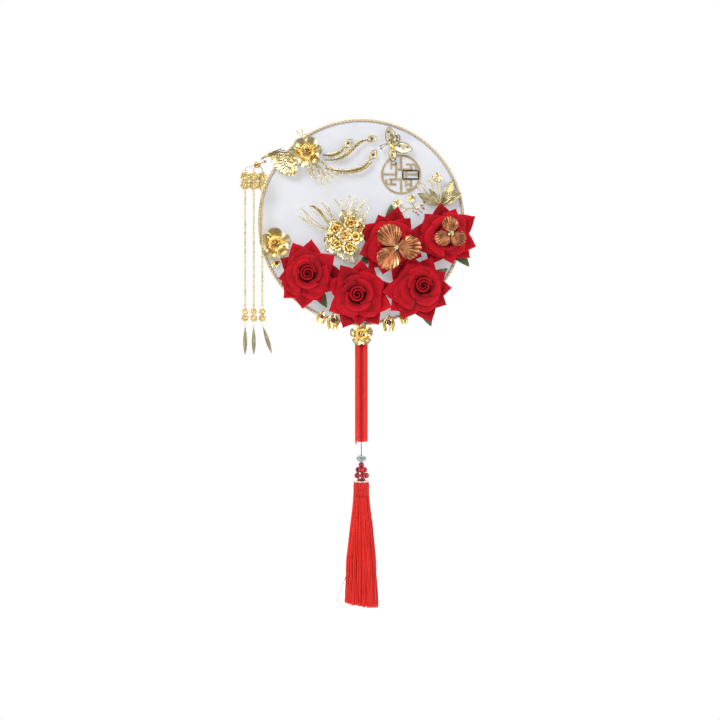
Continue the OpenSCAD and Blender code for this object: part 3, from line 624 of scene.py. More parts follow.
# Each row of petals, from the outside in. The outer ones: foot height, reach, tip height, turn, notch,
# power, arch and roll. The cupped ones: count, foot, reach, tip height, half-angle, turn, then notch to
# spread as petals takes them, and the share of the heart's lean.
outer_rows = [(0.6, 39.5, 5.5, 0, 0.5, 0.72, 0.66, 4.6), (1.6, 37, 9.5, 36, 0.48, 0.76, 0.68, 4.8)]
cupped_rows = [(4, (6, 2), 29, 12.5, 60, 11, (0.36, 1.0, 1.3, 0.74, 4.4, 4.4, 2.6), 0.3),
               (3, (8, 3), 23.5, 16.8, 78, 50, (0.36, 1.05, 1.6, 0.74, 3.4, 5.0, 2.6), 0.65),
               (3, (8, 3), 17.5, 19.5, 80, 108, (0.28, 1.3, 1.5, 0.64, 1.2, 2.6, 1.5), 1)]
for number, (x, z, calyx, turn, size, lean_x, lean_z) in enumerate(rose_rows, 1):
    lean = np.array([lean_x, lean_z, 0.0])
    outer = [petals(5, (5, foot), (reach * size, height), 43, turn + shift, notch, power, arch=arch,
                    roll=roll, spread=2.4)
             for foot, reach, height, shift, notch, power, arch, roll in outer_rows]
    cupped = [petals(count, foot, (reach * size, height), half, turn + shift, *form) + lean * share
              for count, foot, reach, height, half, shift, form, share in cupped_rows]
    piece(f"rose_{number}_velvet_petals", [net(on_face(grid, x, z, calyx)) for grid in outer], velvet,
          "fan", "velvet_red", [f"rose_{number}_petals"], wall=0.45)
    t, s = np.meshgrid(np.linspace(0, 1, 10), np.linspace(0, 1, 110), indexing="ij")
    a = np.radians(turn) + s * 2 * np.pi * 2.4
    r = (10.4 - 9.2 * s) * (0.6 + 0.46 * t ** 2)
    edge = 12.2 + 2.4 * s + 0.8 * np.sin(1.7 * a)
    strip = polar(r, a, 5 + edge * np.sin(1.9 * t)) + lean
    well = spun([(12, 4.2), (10.5, 3.2), (8.5, 2.8), (6, 2.6), *((5 - k, 2.5) for k in range(6))], 40)
    heart = [net(on_face(grid, x, z, calyx)) for grid in (*cupped, strip)]
    heart.append(net(on_face(well + lean * 0.8, x, z, calyx), around=True))
    piece(f"rose_{number}_velvet_heart", heart, velvet, "fan", "velvet_dark", [f"rose_{number}_heart"],
          wall=0.5)

# ---- Calyxes and leaves ----
# Moulded green cups hold the petals' feet off the gauze. The leaves are stiffened green cloth with
# pressed veins, glued behind the roses so that only their tips show.
# Each leaf row: rose, direction in degrees, reach.
leaf_rows = [(4, 88, 47), (2, 122, 43), (3, 34, 46), (3, -68, 48), (5, -50, 48), (1, -60, 46),
             (2, -155, 40), (4, -145, 46)]
calyx_green, tree, shader = material("calyx green", Roughness=0.6)
pile = grouped(tree, nap, Size=0.6)
coloured(tree, shader, pile["Lay"], [(0.3, (0.03, 0.07, 0.02)), (0.7, (0.09, 0.17, 0.05))])
bumped(tree, shader, pile["Height"], 0.0001)
cups = []
for x, z, calyx, *_ in rose_rows:
    cup = spun([(0, 0.1), (8.8, 0.1), (9, 0.8), (6.2, 1.6), (5.6, calyx * 0.55), (7, calyx * 0.8),
                (8.8, calyx - 0.1), (0, calyx - 0.1)], 80)
    cup[..., :2] *= 1 + 0.03 * np.cos(10 * circle(80))[None, :, None]
    cups.append(net(on_face(cup, x, z), around=True))
piece("rose_calyx_cups", cups, calyx_green, "fan", "calyx_green", ["rose_calyxes"])


def blade(length, width, fold=0.12, rise=0.0, droop=0.0, wave=0.0, shape=1.0, fine=(26, 13)):
    """A leaf from the origin along +x: half-width sin(pi t^shape), folded up from its midrib."""
    t, s = np.meshgrid(np.linspace(0, 1, fine[0]), np.linspace(-1, 1, fine[1]), indexing="ij")
    half = width / 2 * np.sin(np.pi * t ** shape) ** 0.85
    z = rise * t * length - droop * t ** 2 * length + fold * np.abs(s) * half
    return np.stack([t * length, s * half, z + wave * np.sin(11 * t) * s], -1)


leaf_cloth, tree, shader = material("leaf cloth", Roughness=0.55, Specular_IOR_Level=0.3)
run = grouped(tree, threads, Across=8, Along=14, Cloud=120)
across = add(tree, "SeparateXYZ", {0: coordinates(tree, "UV")}).outputs
green = ramp(tree, across["Y"], [(0.6, (0.022, 0.045, 0.01)), (1.0, (0.17, 0.26, 0.1))])
veins = ramp(tree, run["Groove"], [(0.05, (0.6, 0.65, 0.55)), (0.35, (1, 1, 1))])
tree.links.new(mixed(tree, 1.0, green, veins, "MULTIPLY"), shader.inputs["Base Color"])
bumped(tree, shader, run["Groove"], 0.0003)
leaves = [on_face(turned(blade(reach, 15, 0.16, 0.03, -0.02, 0.3), way), *rose_rows[rose - 1][:2], 2.3)
          for rose, way, reach in leaf_rows]
piece("leaf_cloth_blades", [net(np.array(leaves))], leaf_cloth, "fan", "leaf_green", ["green_leaves"],
      wall=0.3)

# ---- Trefoils ----
# Three-petalled flowers pressed from thin sheet in fans of flutes and enamelled a coppery brown,
# wired through the hearts of the two upper right roses, with a knot of pale stamens.
copper, tree, shader = material("enamelled copper", Metallic=0.75, Coat_Weight=0.4, Coat_Roughness=0.12)
run = grouped(tree, threads, Across=11, Along=0, Cloud=130)
shade = weighed(tree, run["Groove"], 0.42, run["Cloud"], 0.68)
coloured(tree, shader, shade, [(0.3, (0.08, 0.018, 0.005)), (0.6, (0.33, 0.09, 0.028)),
                               (0.8, (0.66, 0.27, 0.1)), (0.95, (1.0, 0.6, 0.3))])
rough = add(tree, "MapRange", {"Value": run["Cloud"], "From Min": 0.3, "From Max": 0.7, "To Min": 0.16,
                               "To Max": 0.42})
tree.links.new(rough.outputs[0], shader.inputs["Roughness"])
bumped(tree, shader, run["Groove"], 0.0004)


def balls(centres, radii, squash=1.0, sides=12, rings=8):
    """Small globes at centres, closed at their poles; squash flattens them along the last axis."""
    globe = spun(np.stack([np.cos(np.linspace(-np.pi / 2, np.pi / 2, rings)),
                           np.sin(np.linspace(-np.pi / 2, np.pi / 2, rings)) * squash], -1), sides)
    return np.asarray(centres, float)[:, None, None] + globe[None] * np.reshape(radii, (-1, 1, 1, 1))


def fluted(length, ways, rise, lean):
    """Broad fluted petals from the origin: r = 1.2 + t L cos(1.5 s)^0.35, with small waves round the
    edge, and nine flutes that deepen outward.
    """
    t, s = np.meshgrid(np.linspace(0, 1, 26), np.linspace(-1, 1, 65), indexing="ij")
    angle, flute = s * math.radians(55), np.cos(9 * np.pi * s)
    grids = []
    for index, way in enumerate(ways):
        edge = 1 + 0.02 * flute + 0.03 * np.sin(4 * s + index)
        r = 1.2 + t * length * np.cos(1.5 * s) ** 0.35 * edge
        z = (rise * t - 0.55 * rise * t ** 2 * np.abs(s) + lean[index] * t * s
             + 0.2 * flute * t + (0.9 + 0.5 * s) * np.sin(4 * t + index + s))
        grids.append(turned(polar(r, angle, z), way))
    return grids


def tufts(count, reach, rise, head=0.6):
    """Wires from the origin that fan out and end in small heads, where a height goes as the square
    root of the way along; gives (wires, heads).
    """
    a, out_to = rng.uniform(0, 2 * np.pi, count), rng.uniform(0.3, 1, count) * reach
    ends = polar(out_to, a, rise * rng.uniform(0.7, 1.1, count))
    t = np.linspace(0, 1, 6)[None, :, None]
    wires = ends[:, None] * t * [1, 1, 0] + ends[:, None] * [0, 0, 1] * np.sqrt(t)
    return wires, balls(ends, np.full(count, head), 1.0, 8, 6)


stamen_gold = gilded("pale stamens", (0.7, 0.5, 0.2), (1.0, 0.92, 0.62), 0.2, 0.4, 400, metal=0.7)
# Each row: side, rose, petal length, the petals' directions, offset from the rose's middle, rise.
trefoil_rows = [("left", 4, 29, (118, -2, 237), (7, -6, 0), 6.5),
                ("right", 5, 19, (90, -32, 212), (7, 2, 0), 4.5)]
rose_deep = 17
for label, rose, length, ways, offset, rise in trefoil_rows:
    x, z, calyx = rose_rows[rose - 1][:3]
    depth = calyx + 1.2 + rose_deep + 1.6
    shift = np.array(offset, float)
    grids = [on_face(grid + shift, x, z, depth)
             for grid in fluted(length * 0.97, ways, rise, (2.2, -3.0, 1.5))]
    wires, heads = tufts(16, 3.4, 4.2, 0.8)
    stem = np.array([[0, 0, -6.0], [0, 0, -2], [0, 0, 0.5]]) + shift * [[0], [0.5], [1]]
    piece(f"trefoil_{label}_petals", [net(grid) for grid in grids], copper, "fan", "copper",
          [f"trefoil_{label}"], wall=0.4)
    piece(f"trefoil_{label}_stamens", [tube(on_face(wires + shift, x, z, depth), 0.35, 5),
                                       net(on_face(heads + shift, x, z, depth), around=True),
                                       tube(on_face(stem, x, z, depth), 1.1, 8)],
          stamen_gold, "fan", "copper")

# ---- Blossoms ----
# Petals are pressed from thin gilded sheet, dished, and riveted in rows through the middle. The
# inner cups are a warmer gold, and fine wire stamens stand in each.
pale_gold = gilded("pale gold", (0.6, 0.42, 0.13), (1.0, 0.87, 0.48), 0.16, 0.38, 160)
warm_gold = gilded("warm gold", (0.62, 0.36, 0.07), (1.0, 0.72, 0.24), 0.14, 0.32, 200)
olive_gold = gilded("olive gold", (0.3, 0.22, 0.07), (0.76, 0.62, 0.28), 0.18, 0.42, 120)
dark_enamel = gilded("dark enamel", (0.03, 0.004, 0.004), (0.16, 0.02, 0.015), 0.2, 0.4, 300, metal=0.3)
bronze = gilded("dark bronze", (0.035, 0.025, 0.012), (0.3, 0.22, 0.09), 0.15, 0.4, 200)


def ornament(name, nets, paint, nodes=(), **finish):
    """A piece of the fan's brasswork."""
    return piece(name, nets, paint, "fan", "brass", nodes, **finish)


def bloom(d, count, foot, rise, turn=0.0, inner=0.48):
    """An outer ring of round petals and an inner cup, d across; gives (outer grids, cup grids)."""
    half = 205 / count
    outer = petals(count, (d * 0.05, foot), (d * 0.5, foot + rise), half, turn, 0.34, 2.4, 0.8, 0.5,
                   -0.06 * d, 0.4, 0.6, (12, 17))
    cup = petals(count, (d * 0.04, foot + 0.4), (d * 0.5 * inner, foot + rise + 0.13 * d), half * 0.9,
                 turn + 180 / count, 0.25, 2.4, 1.3, 0.5, -0.02 * d, 0.5, 0.6, (10, 15))
    return outer, cup


def pressed_blossom(name, x, z, depth, d, count, rise, turn):
    """A whole blossom on the face: pale outer petals, a warm cup, stamens and the peg behind."""
    outer, cup = bloom(d, count, 0.3, rise, turn)
    wires, heads = tufts(14, d * 0.13, rise + d * 0.17, 0.6)
    peg = spun([(0, -depth + 0.1), (d * 0.07, -depth + 0.1), (d * 0.05, -depth * 0.5), (d * 0.08, 0.6),
                (0, 1.2)], 24)
    ornament(name + "_petals", [net(on_face(outer, x, z, depth)),
                                net(on_face(peg, x, z, depth), around=True)], pale_gold, [name])
    ornament(name + "_cup", [net(on_face(cup, x, z, depth))], warm_gold, wall=0.35)
    ornament(name + "_stamens", [tube(on_face(wires, x, z, depth), 0.25, 5),
                                 net(on_face(heads, x, z, depth), around=True)], stamen_gold)


pressed_blossom("left_blossom", -0.824, -0.215, 3.4, 39, 5, 4.5, 20)
pressed_blossom("phoenix_blossom", -0.525, 0.667, 7.2, 38, 6, 4.0, 8)
pressed_blossom("handle_blossom", 0.0, (braid_top - hoop_z) / hoop_r, 8.1, 28.5, 5, 3.2, 90)

# ---- Centre cluster ----
# Eight small cups are wired together over large lace-edged petals of silvery gold, with a ribbon of
# strip and long wire stamens that end in beads.
centre = (-0.148, -0.135)
cup_rows = [(-12, 8.5, 20, 9), (6, 14.5, 19, 10), (11.5, -1.2, 21, 12), (-10.9, -9.7, 19, 9),
            (4.8, -14, 20, 10), (-1, 1, 18, 15), (-17, -1, 15, 6), (15, 10, 15, 6)]


def plate(grids, middle):
    """Sheets laid out about a middle on the face."""
    return net(on_face(grids, *middle))


def solid(grids, middle):
    """Closed shapes laid out about a middle on the face."""
    return net(on_face(grids, *middle), around=True)


def wire(paths, middle, radius, sides=6):
    """Round wires laid out about a middle on the face."""
    return tube(on_face(paths, *middle), radius, sides)


outers, cups, stands, hairs, tips = [], [], [], [], []
for x, z, d, height in cup_rows:
    shift = np.array([x, z, height])
    outer, cup = bloom(d, 5, 0, 3.4, rng.uniform(0, 70), 0.5)
    outers.append(plate(outer + shift, centre))
    cups.append(plate(cup + shift, centre))
    stands.append(on_face(np.linspace([x * 0.4, z * 0.4, 0.1], shift + [0, 0, 0.6], 6), *centre))
    wires, heads = tufts(8, 2.4, 5.4, 0.5)
    hairs.append(on_face(wires + shift, *centre))
    tips.append(on_face(heads + shift, *centre))
ornament("centre_cups_outer", outers, pale_gold, ["centre_blossom"], wall=0.35)
ornament("centre_cups_inner", cups, warm_gold, wall=0.35)
ornament("centre_cup_stamens", [tube(np.concatenate(hairs), 0.22, 5),
                                net(np.concatenate(tips), around=True), tube(np.array(stands), 1.1, 8)],
         stamen_gold)

lace_gold, tree, shader = material("silvery lace", Metallic=0.85, Roughness=0.28)
run = grouped(tree, threads, Across=9, Along=5, Cloud=200)
shade = weighed(tree, run["Groove"], 0.6, run["Cloud"], 0.5)
coloured(tree, shader, shade, [(0.3, (0.36, 0.27, 0.13)), (0.8, (0.98, 0.9, 0.66))])
holes = add(tree, "TexVoronoi", {"Vector": coordinates(tree), "Scale": 520.0})
open_work = add(tree, "MapRange", {"Value": holes.outputs["Distance"], "From Min": 0.22,
                                   "From Max": 0.3})
tree.links.new(open_work.outputs[0], shader.inputs["Alpha"])
bumped(tree, shader, run["Groove"], 0.0003)
lace_rows = [(-165, 28, 20, 3), (-143, 31, 20, 5), (-72, 36, 22, 4), (-96, 31, 20, 6),
             (-118, 28, 16, 2), (52, 33, 14, 3), (74, 34, 13, 5), (97, 32, 12, 4), (160, 25, 15, 6),
             (135, 27, 11, 3)]
lace = [on_face(turned(blade(length, width, 0.2, 0.12, 0.06, 0.8, 1.8), way) + [0, 0, lift], *centre)
        for way, length, width, lift in lace_rows]
ornament("centre_lace_petals", [net(np.array(lace))], lace_gold, wall=0.3)


def cubic(points, steps=24):
    """A Bezier curve: four points weighed by (1-t)^3, 3t(1-t)^2, 3t^2(1-t) and t^3."""
    p, t = np.asarray(points, float), np.linspace(0, 1, steps)[:, None]
    inner = 3 * t * (1 - t) ** 2 * p[1] + 3 * t ** 2 * (1 - t) * p[2]
    return (1 - t) ** 3 * p[0] + inner + t ** 3 * p[3]


def spray(name, middle, ends, nodes, lift):
    """Curved wires from a blossom's middle to beads at the given ends, with side beads on the way."""
    paths, beads_at = [], []
    for x, z, rise in ends:
        bend = rng.uniform(-0.14, 0.14)
        paths.append(cubic([(0.1 * x, 0.1 * z, lift),
                            (0.35 * x - bend * z, 0.35 * z + bend * x, lift + rise),
                            (0.7 * x - bend * z, 0.7 * z + bend * x, lift + rise),
                            (x, z, lift + rise * 0.8)]))
        beads_at += [paths[-1][-1], paths[-1][-4] + [0.9, 0.9, 0.4], paths[-1][-7] + [-0.9, 0.8, 0.4]]
    radii = np.tile([1.4, 0.85, 0.85], len(ends))
    ornament(name, [wire(paths, middle, 0.47),
                 solid(balls(np.array(beads_at), radii, 1, 10, 8), middle)],
          pale_gold, nodes)


spray("centre_stamen_spray", centre, [(-53, 32.6, 5), (-58, 24, 4), (-48, 22, 7), (-41, 28, 6),
                                      (-29, 40, 5), (-21.7, 36, 8), (-14, 44, 4), (-5, 42, 6),
                                      (4, 47, 4), (8, 40, 8), (12, 45, 6), (19, 38, 5), (24, 43, 3),
                                      (28, 34, 6), (-35, 33, 7), (-52, 20, 6)], ["centre_spray"], 5)
ribbon = cubic([(-20, 14, 7), (-28, 24, 9), (-33, 34, 10), (-43, 36, 8)], 30)
band = ribbon[:, None] + np.linspace(-1, 1, 5)[None, :, None] * np.array([0.9, 1.2, 0.6])
ornament("centre_ribbon", [plate(band, centre)], olive_gold, wall=0.4)

# ---- Phoenix ----
# The body is stamped in relief from one sheet and set with scales, a crest, a layered wing and
# three long plumes that end in open eyes. A blossom and beaded wires hide where they join.
bird = (-0.525, 0.667)
spine = cubic([(-44, -6, 4), (-28, -8, 4.6), (-10, -3, 5.2), (6, -1, 4.6)], 40)
girth = np.interp(np.linspace(0, 1, 40), [0, 0.12, 0.3, 0.6, 0.85, 1], [2.4, 3.3, 2.7, 6.6, 7.2, 3.0])
around = circle(24)
girth[[0, -1]] = 0
trunk = spine[:, None] + girth[:, None, None] * np.stack(
    [0.12 * np.sin(around), np.cos(around), 0.34 * np.sin(around)], -1)
scales = []
for row, along in enumerate(np.linspace(6, 35, 11).astype(int)):
    for side in np.linspace(-0.75, 0.75, 5) + (row % 2) * 0.16:
        swell = 0.34 * girth[along] * math.sqrt(max(1 - side * side, 0.1)) - 0.2
        root = spine[along] + [0, girth[along] * side, swell]
        scales.append(turned(blade(5.2, 3.6, 0.1, 0.16, 0, 0, 0.8, (7, 5)), 186 + 8 * side) + root)
beak = cubic([(-42, -5, 4), (-47, -3.5, 4), (-52, -5.5, 4), (-56, -10, 3.6)], 16)
crest = [cubic([(-55, -8, 5), (-47, -2.4 + 0.8 * k, 5.6), (-38, -1.5 + 1.6 * k, 6),
                (-22 - 4 * k, 1 + 1.8 * k, 5.6)], 16) for k in range(3)]
crest_r = np.interp(np.linspace(0, 1, 16), [0, 0.3, 1], [0.5, 1.15, 0.6])
ornament("phoenix_relief_body", [solid(trunk, bird),
                              wire(beak, bird, np.linspace(1.7, 0.3, 16), 8),
                              solid(balls([(-42.5, -5, 6)], [1.0], 1, 10, 8), bird)],
      pale_gold, ["phoenix_body"])
ornament("phoenix_scales", [plate(scales, bird)], pale_gold, wall=0.25)
ornament("phoenix_crest", [wire(crest, bird, crest_r)],
      bronze)
feathers = [turned(blade(31 - 1.1 * i, 8, 0.35, 0.1, 0.1, 0.4, 1.5), 176 + 11 * i)
            + [-14, -7, 4.5 + 0.3 * i] for i in range(9)]
ribs = [turned(np.linspace([0, 0, 0.4], [29 - 1.1 * i, 0, 2.6], 6), 176 + 11 * i)
        + [-14, -7, 4.9 + 0.3 * i] for i in range(9)]
coverts = [turned(blade(15 - 0.7 * i, 6, 0.2, 0.16, 0.1, 0.2), 174 + 16 * i)
           + [-15, -6.5, 6.6 + 0.2 * i] for i in range(7)]
ornament("phoenix_wing_feathers", [plate(feathers, bird), plate(coverts, bird)],
      pale_gold, ["phoenix_wing"], wall=0.3)
ornament("phoenix_wing_quills", [wire(ribs, bird, 0.4, 5)], olive_gold)


def lens_loop(length, width):
    """A closed path round a leaf outline from the origin: half-width sin(pi t)^0.8."""
    way = np.linspace(-1, 1, 40)[:, None]
    t = 1 - np.abs(way)
    edge = np.sign(way) * width / 2 * np.sin(np.pi * t) ** 0.8
    return np.concatenate([t * length, edge, 0 * t], -1)[::-1]


plume_curves = [[(0.15, -0.02), (0.26, -0.05), (0.32, 0.0), (0.36, 0.045)],
                [(0.17, -0.07), (0.42, -0.1), (0.45, 0.11), (0.57, 0.12)],
                [(0.18, -0.15), (0.4, -0.22), (0.56, -0.17), (0.61, -0.07)]]
shaft_r = np.interp(np.linspace(0, 1, 40), [0, 0.5, 1], [0.6, 1.1, 0.6])
shafts, barbs, eyes, pupils = [], [], [], []


def heading(path, start, end):
    """The direction in degrees from one point of a path to another."""
    across, up = (path[end] - path[start])[:2]
    return np.degrees(np.arctan2(up, across))


for index, curve in enumerate(plume_curves):
    flat = cubic([(x * hoop_r, z * hoop_r, 4.6) for x, z in curve], 40)
    flat[:, 2] += 1.5 * np.sin(np.linspace(0, np.pi, 40))
    shafts.append(flat)
    tip_way = heading(flat, -4, -1)
    for at in range(6, 36, 2):
        way = heading(flat, at - 1, at + 1)
        for side in (-1, 1):
            long = 6.5 if side < 0 and index == 2 else 5.4 - 0.06 * at
            barbs.append(turned(blade(long, 2.1, 0.2, 0.1), way + side * 36) + flat[at])
    for size in (1, 0.62):
        eyes.append(turned(lens_loop(14 * size, 7.6 * size) + [2.2 * (1 - size), 0, 0], tip_way)
                    + flat[-1])
    pupils.append(turned(np.array([[7.0, 0, 0.4]]), tip_way)[0] + flat[-1])
ornament("phoenix_plume_shafts", [wire(shafts, bird, shaft_r, 8)],
      bronze, ["phoenix_plumes"])
ornament("phoenix_plume_barbs", [plate(np.array(barbs)[:, ::2, ::3], bird)], pale_gold, wall=0.25)
ornament("phoenix_plume_eyes", [wire(eyes, bird, 0.7)], olive_gold)
ornament("phoenix_eye_spots", [solid(balls(np.array(pupils), [1.5], 0.5), bird)], dark_enamel)
spray("phoenix_stamen_spray", bird, [(6, -30, 3), (13, -34, 4), (19, -38, 3), (26, -36, 4),
                                     (31, -30, 3), (34, -24, 4), (9, -24, 5), (16, -29, 6),
                                     (23, -30, 5), (27, -24, 6), (2, -25, 5), (38, -29, 3),
                                     (-1.5, 22, 2), (-6, 28, 3), (-12, 25, 3)], ["phoenix_spray"], 6)

# ---- Butterfly ----
# Wings of bent wire filled with filigree curls and backed with thin sheet, on a ribbed body with
# two curled feelers. It stands off the gauze on a short peg.
moth = (0.297, 0.725)


def curl(x, z, depth, radius, start, turns=1.4, steps=30):
    """A flat spiral path that winds in to a fifth of its radius."""
    t = np.linspace(0, 1, steps)
    a = math.radians(start) + t * turns * 2 * np.pi
    r = radius * (1 - 0.8 * t)
    return np.stack([x + r * np.cos(a), z + r * np.sin(a), np.full(steps, float(depth))], -1)


wing_rows = [(100, 24, 12, 14), (57, 16, 9, 22), (-9, 25, 13, 12), (-86, 19, 9, 10)]
frames, webs, curls = [], [], []
for way, length, width, tip in wing_rows:
    lift = math.tan(math.radians(tip))
    edge = lens_loop(length, width)
    edge[:, 2] = 4 + edge[:, 0] * lift
    frames.append(turned(edge, way))
    web = blade(length * 0.93, width * 0.86, 0.1, lift)
    webs.append(turned(web + [0.6, 0, 4], way))
    for share, side, size in ((0.35, 0.4, 1.5), (0.55, -0.5, 1.9), (0.75, 0.35, 1.5)):
        turn_in = curl(length * share, width * 0.28 * side, 4.4 + length * share * lift, size,
                       60 * side)
        curls.append(turned(turn_in, way))
feelers = [cubic([(-3, 3, 5.5), (-6, 3, 7), (-9, 4 - 3 * k, 7), (-13, 1 - 3 * k, 6)], 30)
           for k in (0, 1)]
curls += [curl(-13.6, 0.4, 6, 1.6, 20), curl(-13.4, -2.8, 6, 1.4, -30)]
ornament("butterfly_wing_frames", [wire(frames, moth, 0.42),
                                wire(curls, moth, 0.32, 5),
                                wire(feelers, moth, 0.32, 5)], bronze,
      ["butterfly"])
ornament("butterfly_wing_webs", [plate(webs, moth)], stamen_gold, wall=0.25)
t = np.linspace(0, 1, 40)
bug_r = 1.9 * np.sin(np.pi * t) ** 0.5 * (1 + 0.12 * np.sin(34 * t))
bug_r[[0, -1]] = 0
bug = spun(np.stack([bug_r, 14 * (t - 0.5)], -1), 16)
bug = turned(np.stack([bug[..., 2], bug[..., 0], bug[..., 1] + 5.4], -1), 135)
ornament("butterfly_body", [solid(bug, moth),
                         wire(np.linspace([0, 0, 0.1], [0, 0, 5], 4), moth, 1.2, 8)], warm_gold)

# ---- Medallion ----
# A round lattice cut from flat gilded sheet, whose frame and bars keep their cut edges. A plain
# dark frame of strip is soldered on its face.
cut_gold = gilded("cut sheet gold", (0.42, 0.3, 0.14), (0.78, 0.62, 0.36), 0.25, 0.45, 70, metal=0.45)
dressed("medallion", cut_gold)
corners = np.array([[2.0, 4.6], [21.0, 4.6], [21.0, -5.6], [2.0, -5.6]])[:, None]
slant = 0.9 * np.array([[1, 1], [1, -1], [-1, -1], [-1, 1]])[:, None]
edges = np.concatenate([corners - slant, corners + slant, corners + slant, corners - slant], 1)
lifts = np.broadcast_to([[1.2], [1.2], [2.0], [2.0]], (4, 4, 1))
bars = np.concatenate([edges, lifts], -1)
ornament("medallion_inlay", [net(on_face(bars, 0.384, 0.459), around=True, along=True)], bronze,
      smooth=False)

# ---- Orchid and plum twig ----
# The orchid's leaves are pressed with lengthwise veins and curl off one root; its flower and curls
# are wire and sheet. The plum twig is wire, with five-petalled blossoms and reddish berries.
root = (0.77, 0.155)
leaf_gold, tree, shader = material("veined olive gold", Metallic=0.9, Roughness=0.28, Coat_Weight=0.3)
run = grouped(tree, threads, Across=7, Along=0, Cloud=150)
shade = weighed(tree, run["Groove"], 0.5, run["Cloud"], 0.6)
coloured(tree, shader, shade, [(0.38, (0.1, 0.07, 0.02)), (0.85, (0.84, 0.72, 0.38))])
bumped(tree, shader, run["Groove"], 0.0005)
orchid_rows = [(153, 32, 11, 0.25), (32, 29, 11, 0.25), (64, 35, 11, 0.12), (126, 25, 7, 0.3),
               (47, 26, 7, 0.3)]
blades = [turned(blade(length, width, 0.3, lift, 0.15, 0.1), way) + [0, 0, 3.4]
          for way, length, width, lift in orchid_rows]
ornament("orchid_leaf_blades", [plate(blades, root)], leaf_gold, ["orchid"], wall=0.35)
stalks = [cubic([(0, 0, 4), (-2, 12, 7), (-4, 24, 7), (-5, 33, 6)]),
          cubic([(0, 0, 4), (-5, 12, 6), (-11, 22, 7), (-13.5, 31, 6)]),
          cubic([(0, 0, 4), (-8, 8, 7), (-18, 14, 7), (-22, 22, 6)])]
loops = [curl(-25, 22, 6, 6, 10, 1.15, 44), curl(-13.5, 31.5, 6.4, 3.6, 200, 1.3, 36)]
wires, heads = tufts(10, 4.5, 4, 0.7)
top = petals(5, (0.6, 0), (6.5, 2), 34, 90, 0.5, 1.6, 0.8, 0.5, -0.4, 0.2, 0.6, (10, 11))
ornament("orchid_flower", [plate(top + [-5, 33, 6.4], root)], pale_gold, wall=0.3)
ornament("orchid_stalks", [wire(stalks, root, 0.55), wire(loops[0], root, 0.6),
                        wire(loops[1], root, 0.5), solid(heads + [-5, 33, 6], root),
                        wire(np.linspace([0, 0, 0.1], [0, 0, 4.4], 4), root, 1.8, 12)], pale_gold)
twig = (0.35, 0.179)
blooms = [petals(5, (0.5, 0.6), (5.3, 1.8), 38, turn, 0.4, 2.2, 0.8, 0.5, -0.3, 0.2, 0.6, (9, 11))
          + [x, z, 0.6] for x, z, turn in ((0, 0, 15), (16.3, 5.4, 50))]
bows = [cubic([(4, -13, 1), (8, -3.5, 1.4), (24, -3, 1.4), (30, -12, 1)]),
        cubic([(0, 0, 1), (3, -3, 1.6), (6, -4, 1.6), (10, -6.4, 1.2)]),
        cubic([(16.3, 5.4, 1), (17, 0, 1.6), (19, -4, 1.6), (22, -6.5, 1.2)]),
        cubic([(22, -6.5, 1), (25, -5, 2), (28, -3, 2), (31, 1, 1.6)])]
berries = np.array([[31.3, -6.1, 1.7], [29, -2.5, 1.6], [32, 1.5, 1.6], [25, -13.6, 1.7],
                    [22.5, -11, 1.5], [19, -9.5, 1.5]])
ornament("plum_blossom_petals", [plate(grid, twig) for grid in blooms], pale_gold,
      ["plum_twig"], wall=0.3)
ornament("plum_twig_wire", [wire(bows, twig, 0.5),
                         solid(balls([(0, 0, 2), (16.3, 5.4, 2)], [1.2]), twig)], warm_gold)
ornament("plum_berries", [solid(balls(berries, np.linspace(1.5, 1.1, 6)), twig)],
      gilded("berry enamel", (0.2, 0.04, 0.02), (0.62, 0.22, 0.1), 0.15, 0.3, 300, metal=0.6))

# ---- Buds ----
# Half-open buds along the lower rim: three pressed petals closed round a dark red enamel heart.
# Each row: x, z, direction, length, depth.
bud_rows = [(-0.262, -0.88, -96, 21, 3), (-0.36, -0.86, -110, 17, 3), (0.27, -0.9, -92, 21, 3),
            (0.385, -0.87, -72, 16, 3), (-0.78, -0.38, 205, 13, 0.4), (-0.675, -0.3, 30, 11, 0.4)]
shells, hearts = [], []
for x, z, way, length, depth in bud_rows:
    for spread_to, wide, lift in ((-13, 0.46, 0.12), (13, 0.46, 0.12), (0, 0.34, 0.3)):
        shells.append(on_face(turned(blade(length, length * wide, 0.5, lift, 0.12, 0.1),
                                     way + spread_to), x, z, depth))
    ahead = turned(np.array([[length * 0.42, 0, length * 0.16]]), way)
    hearts.append(on_face(balls(ahead, [length * 0.15]), x, z, depth))
ornament("rim_bud_petals", [net(np.array(shells))], pale_gold, ["brass_buds"], wall=0.3)
ornament("rim_bud_hearts", [net(np.concatenate(hearts), around=True)], dark_enamel)

# ---- Chain drops ----
# Each drop hangs from the hook at the phoenix's beak: a rosette of two stacked flowers, a fine
# chain, a charm of two flowers and a folded willow leaf. The chain is soldered wire links.
drop_x, eye_z = -1.03 * hoop_r, hoop_z + 0.475 * hoop_r
dressed("beak_hook", brass)
soft_gold = gilded("soft gold", (0.5, 0.34, 0.1), (0.86, 0.68, 0.3), 0.25, 0.5, 200, metal=0.7)
link_pitch, links_upper, links_lower, link_r, link_over = 2.88, 25, 23, 0.9, 0.72
rosette_foot, upper_foot, lower_foot, charm_foot = -24.38, -96.38, -162.62, -183.6
eye_r, eye_wire, drop_gap, drop_step = 1.5, 0.3, 10, 5
oval = circle(12)
loop_x = link_r * np.cos(oval)
loop_z = -2 * link_r + link_r * np.sin(oval) + np.where(np.sin(oval) >= 0, link_r, -link_r)


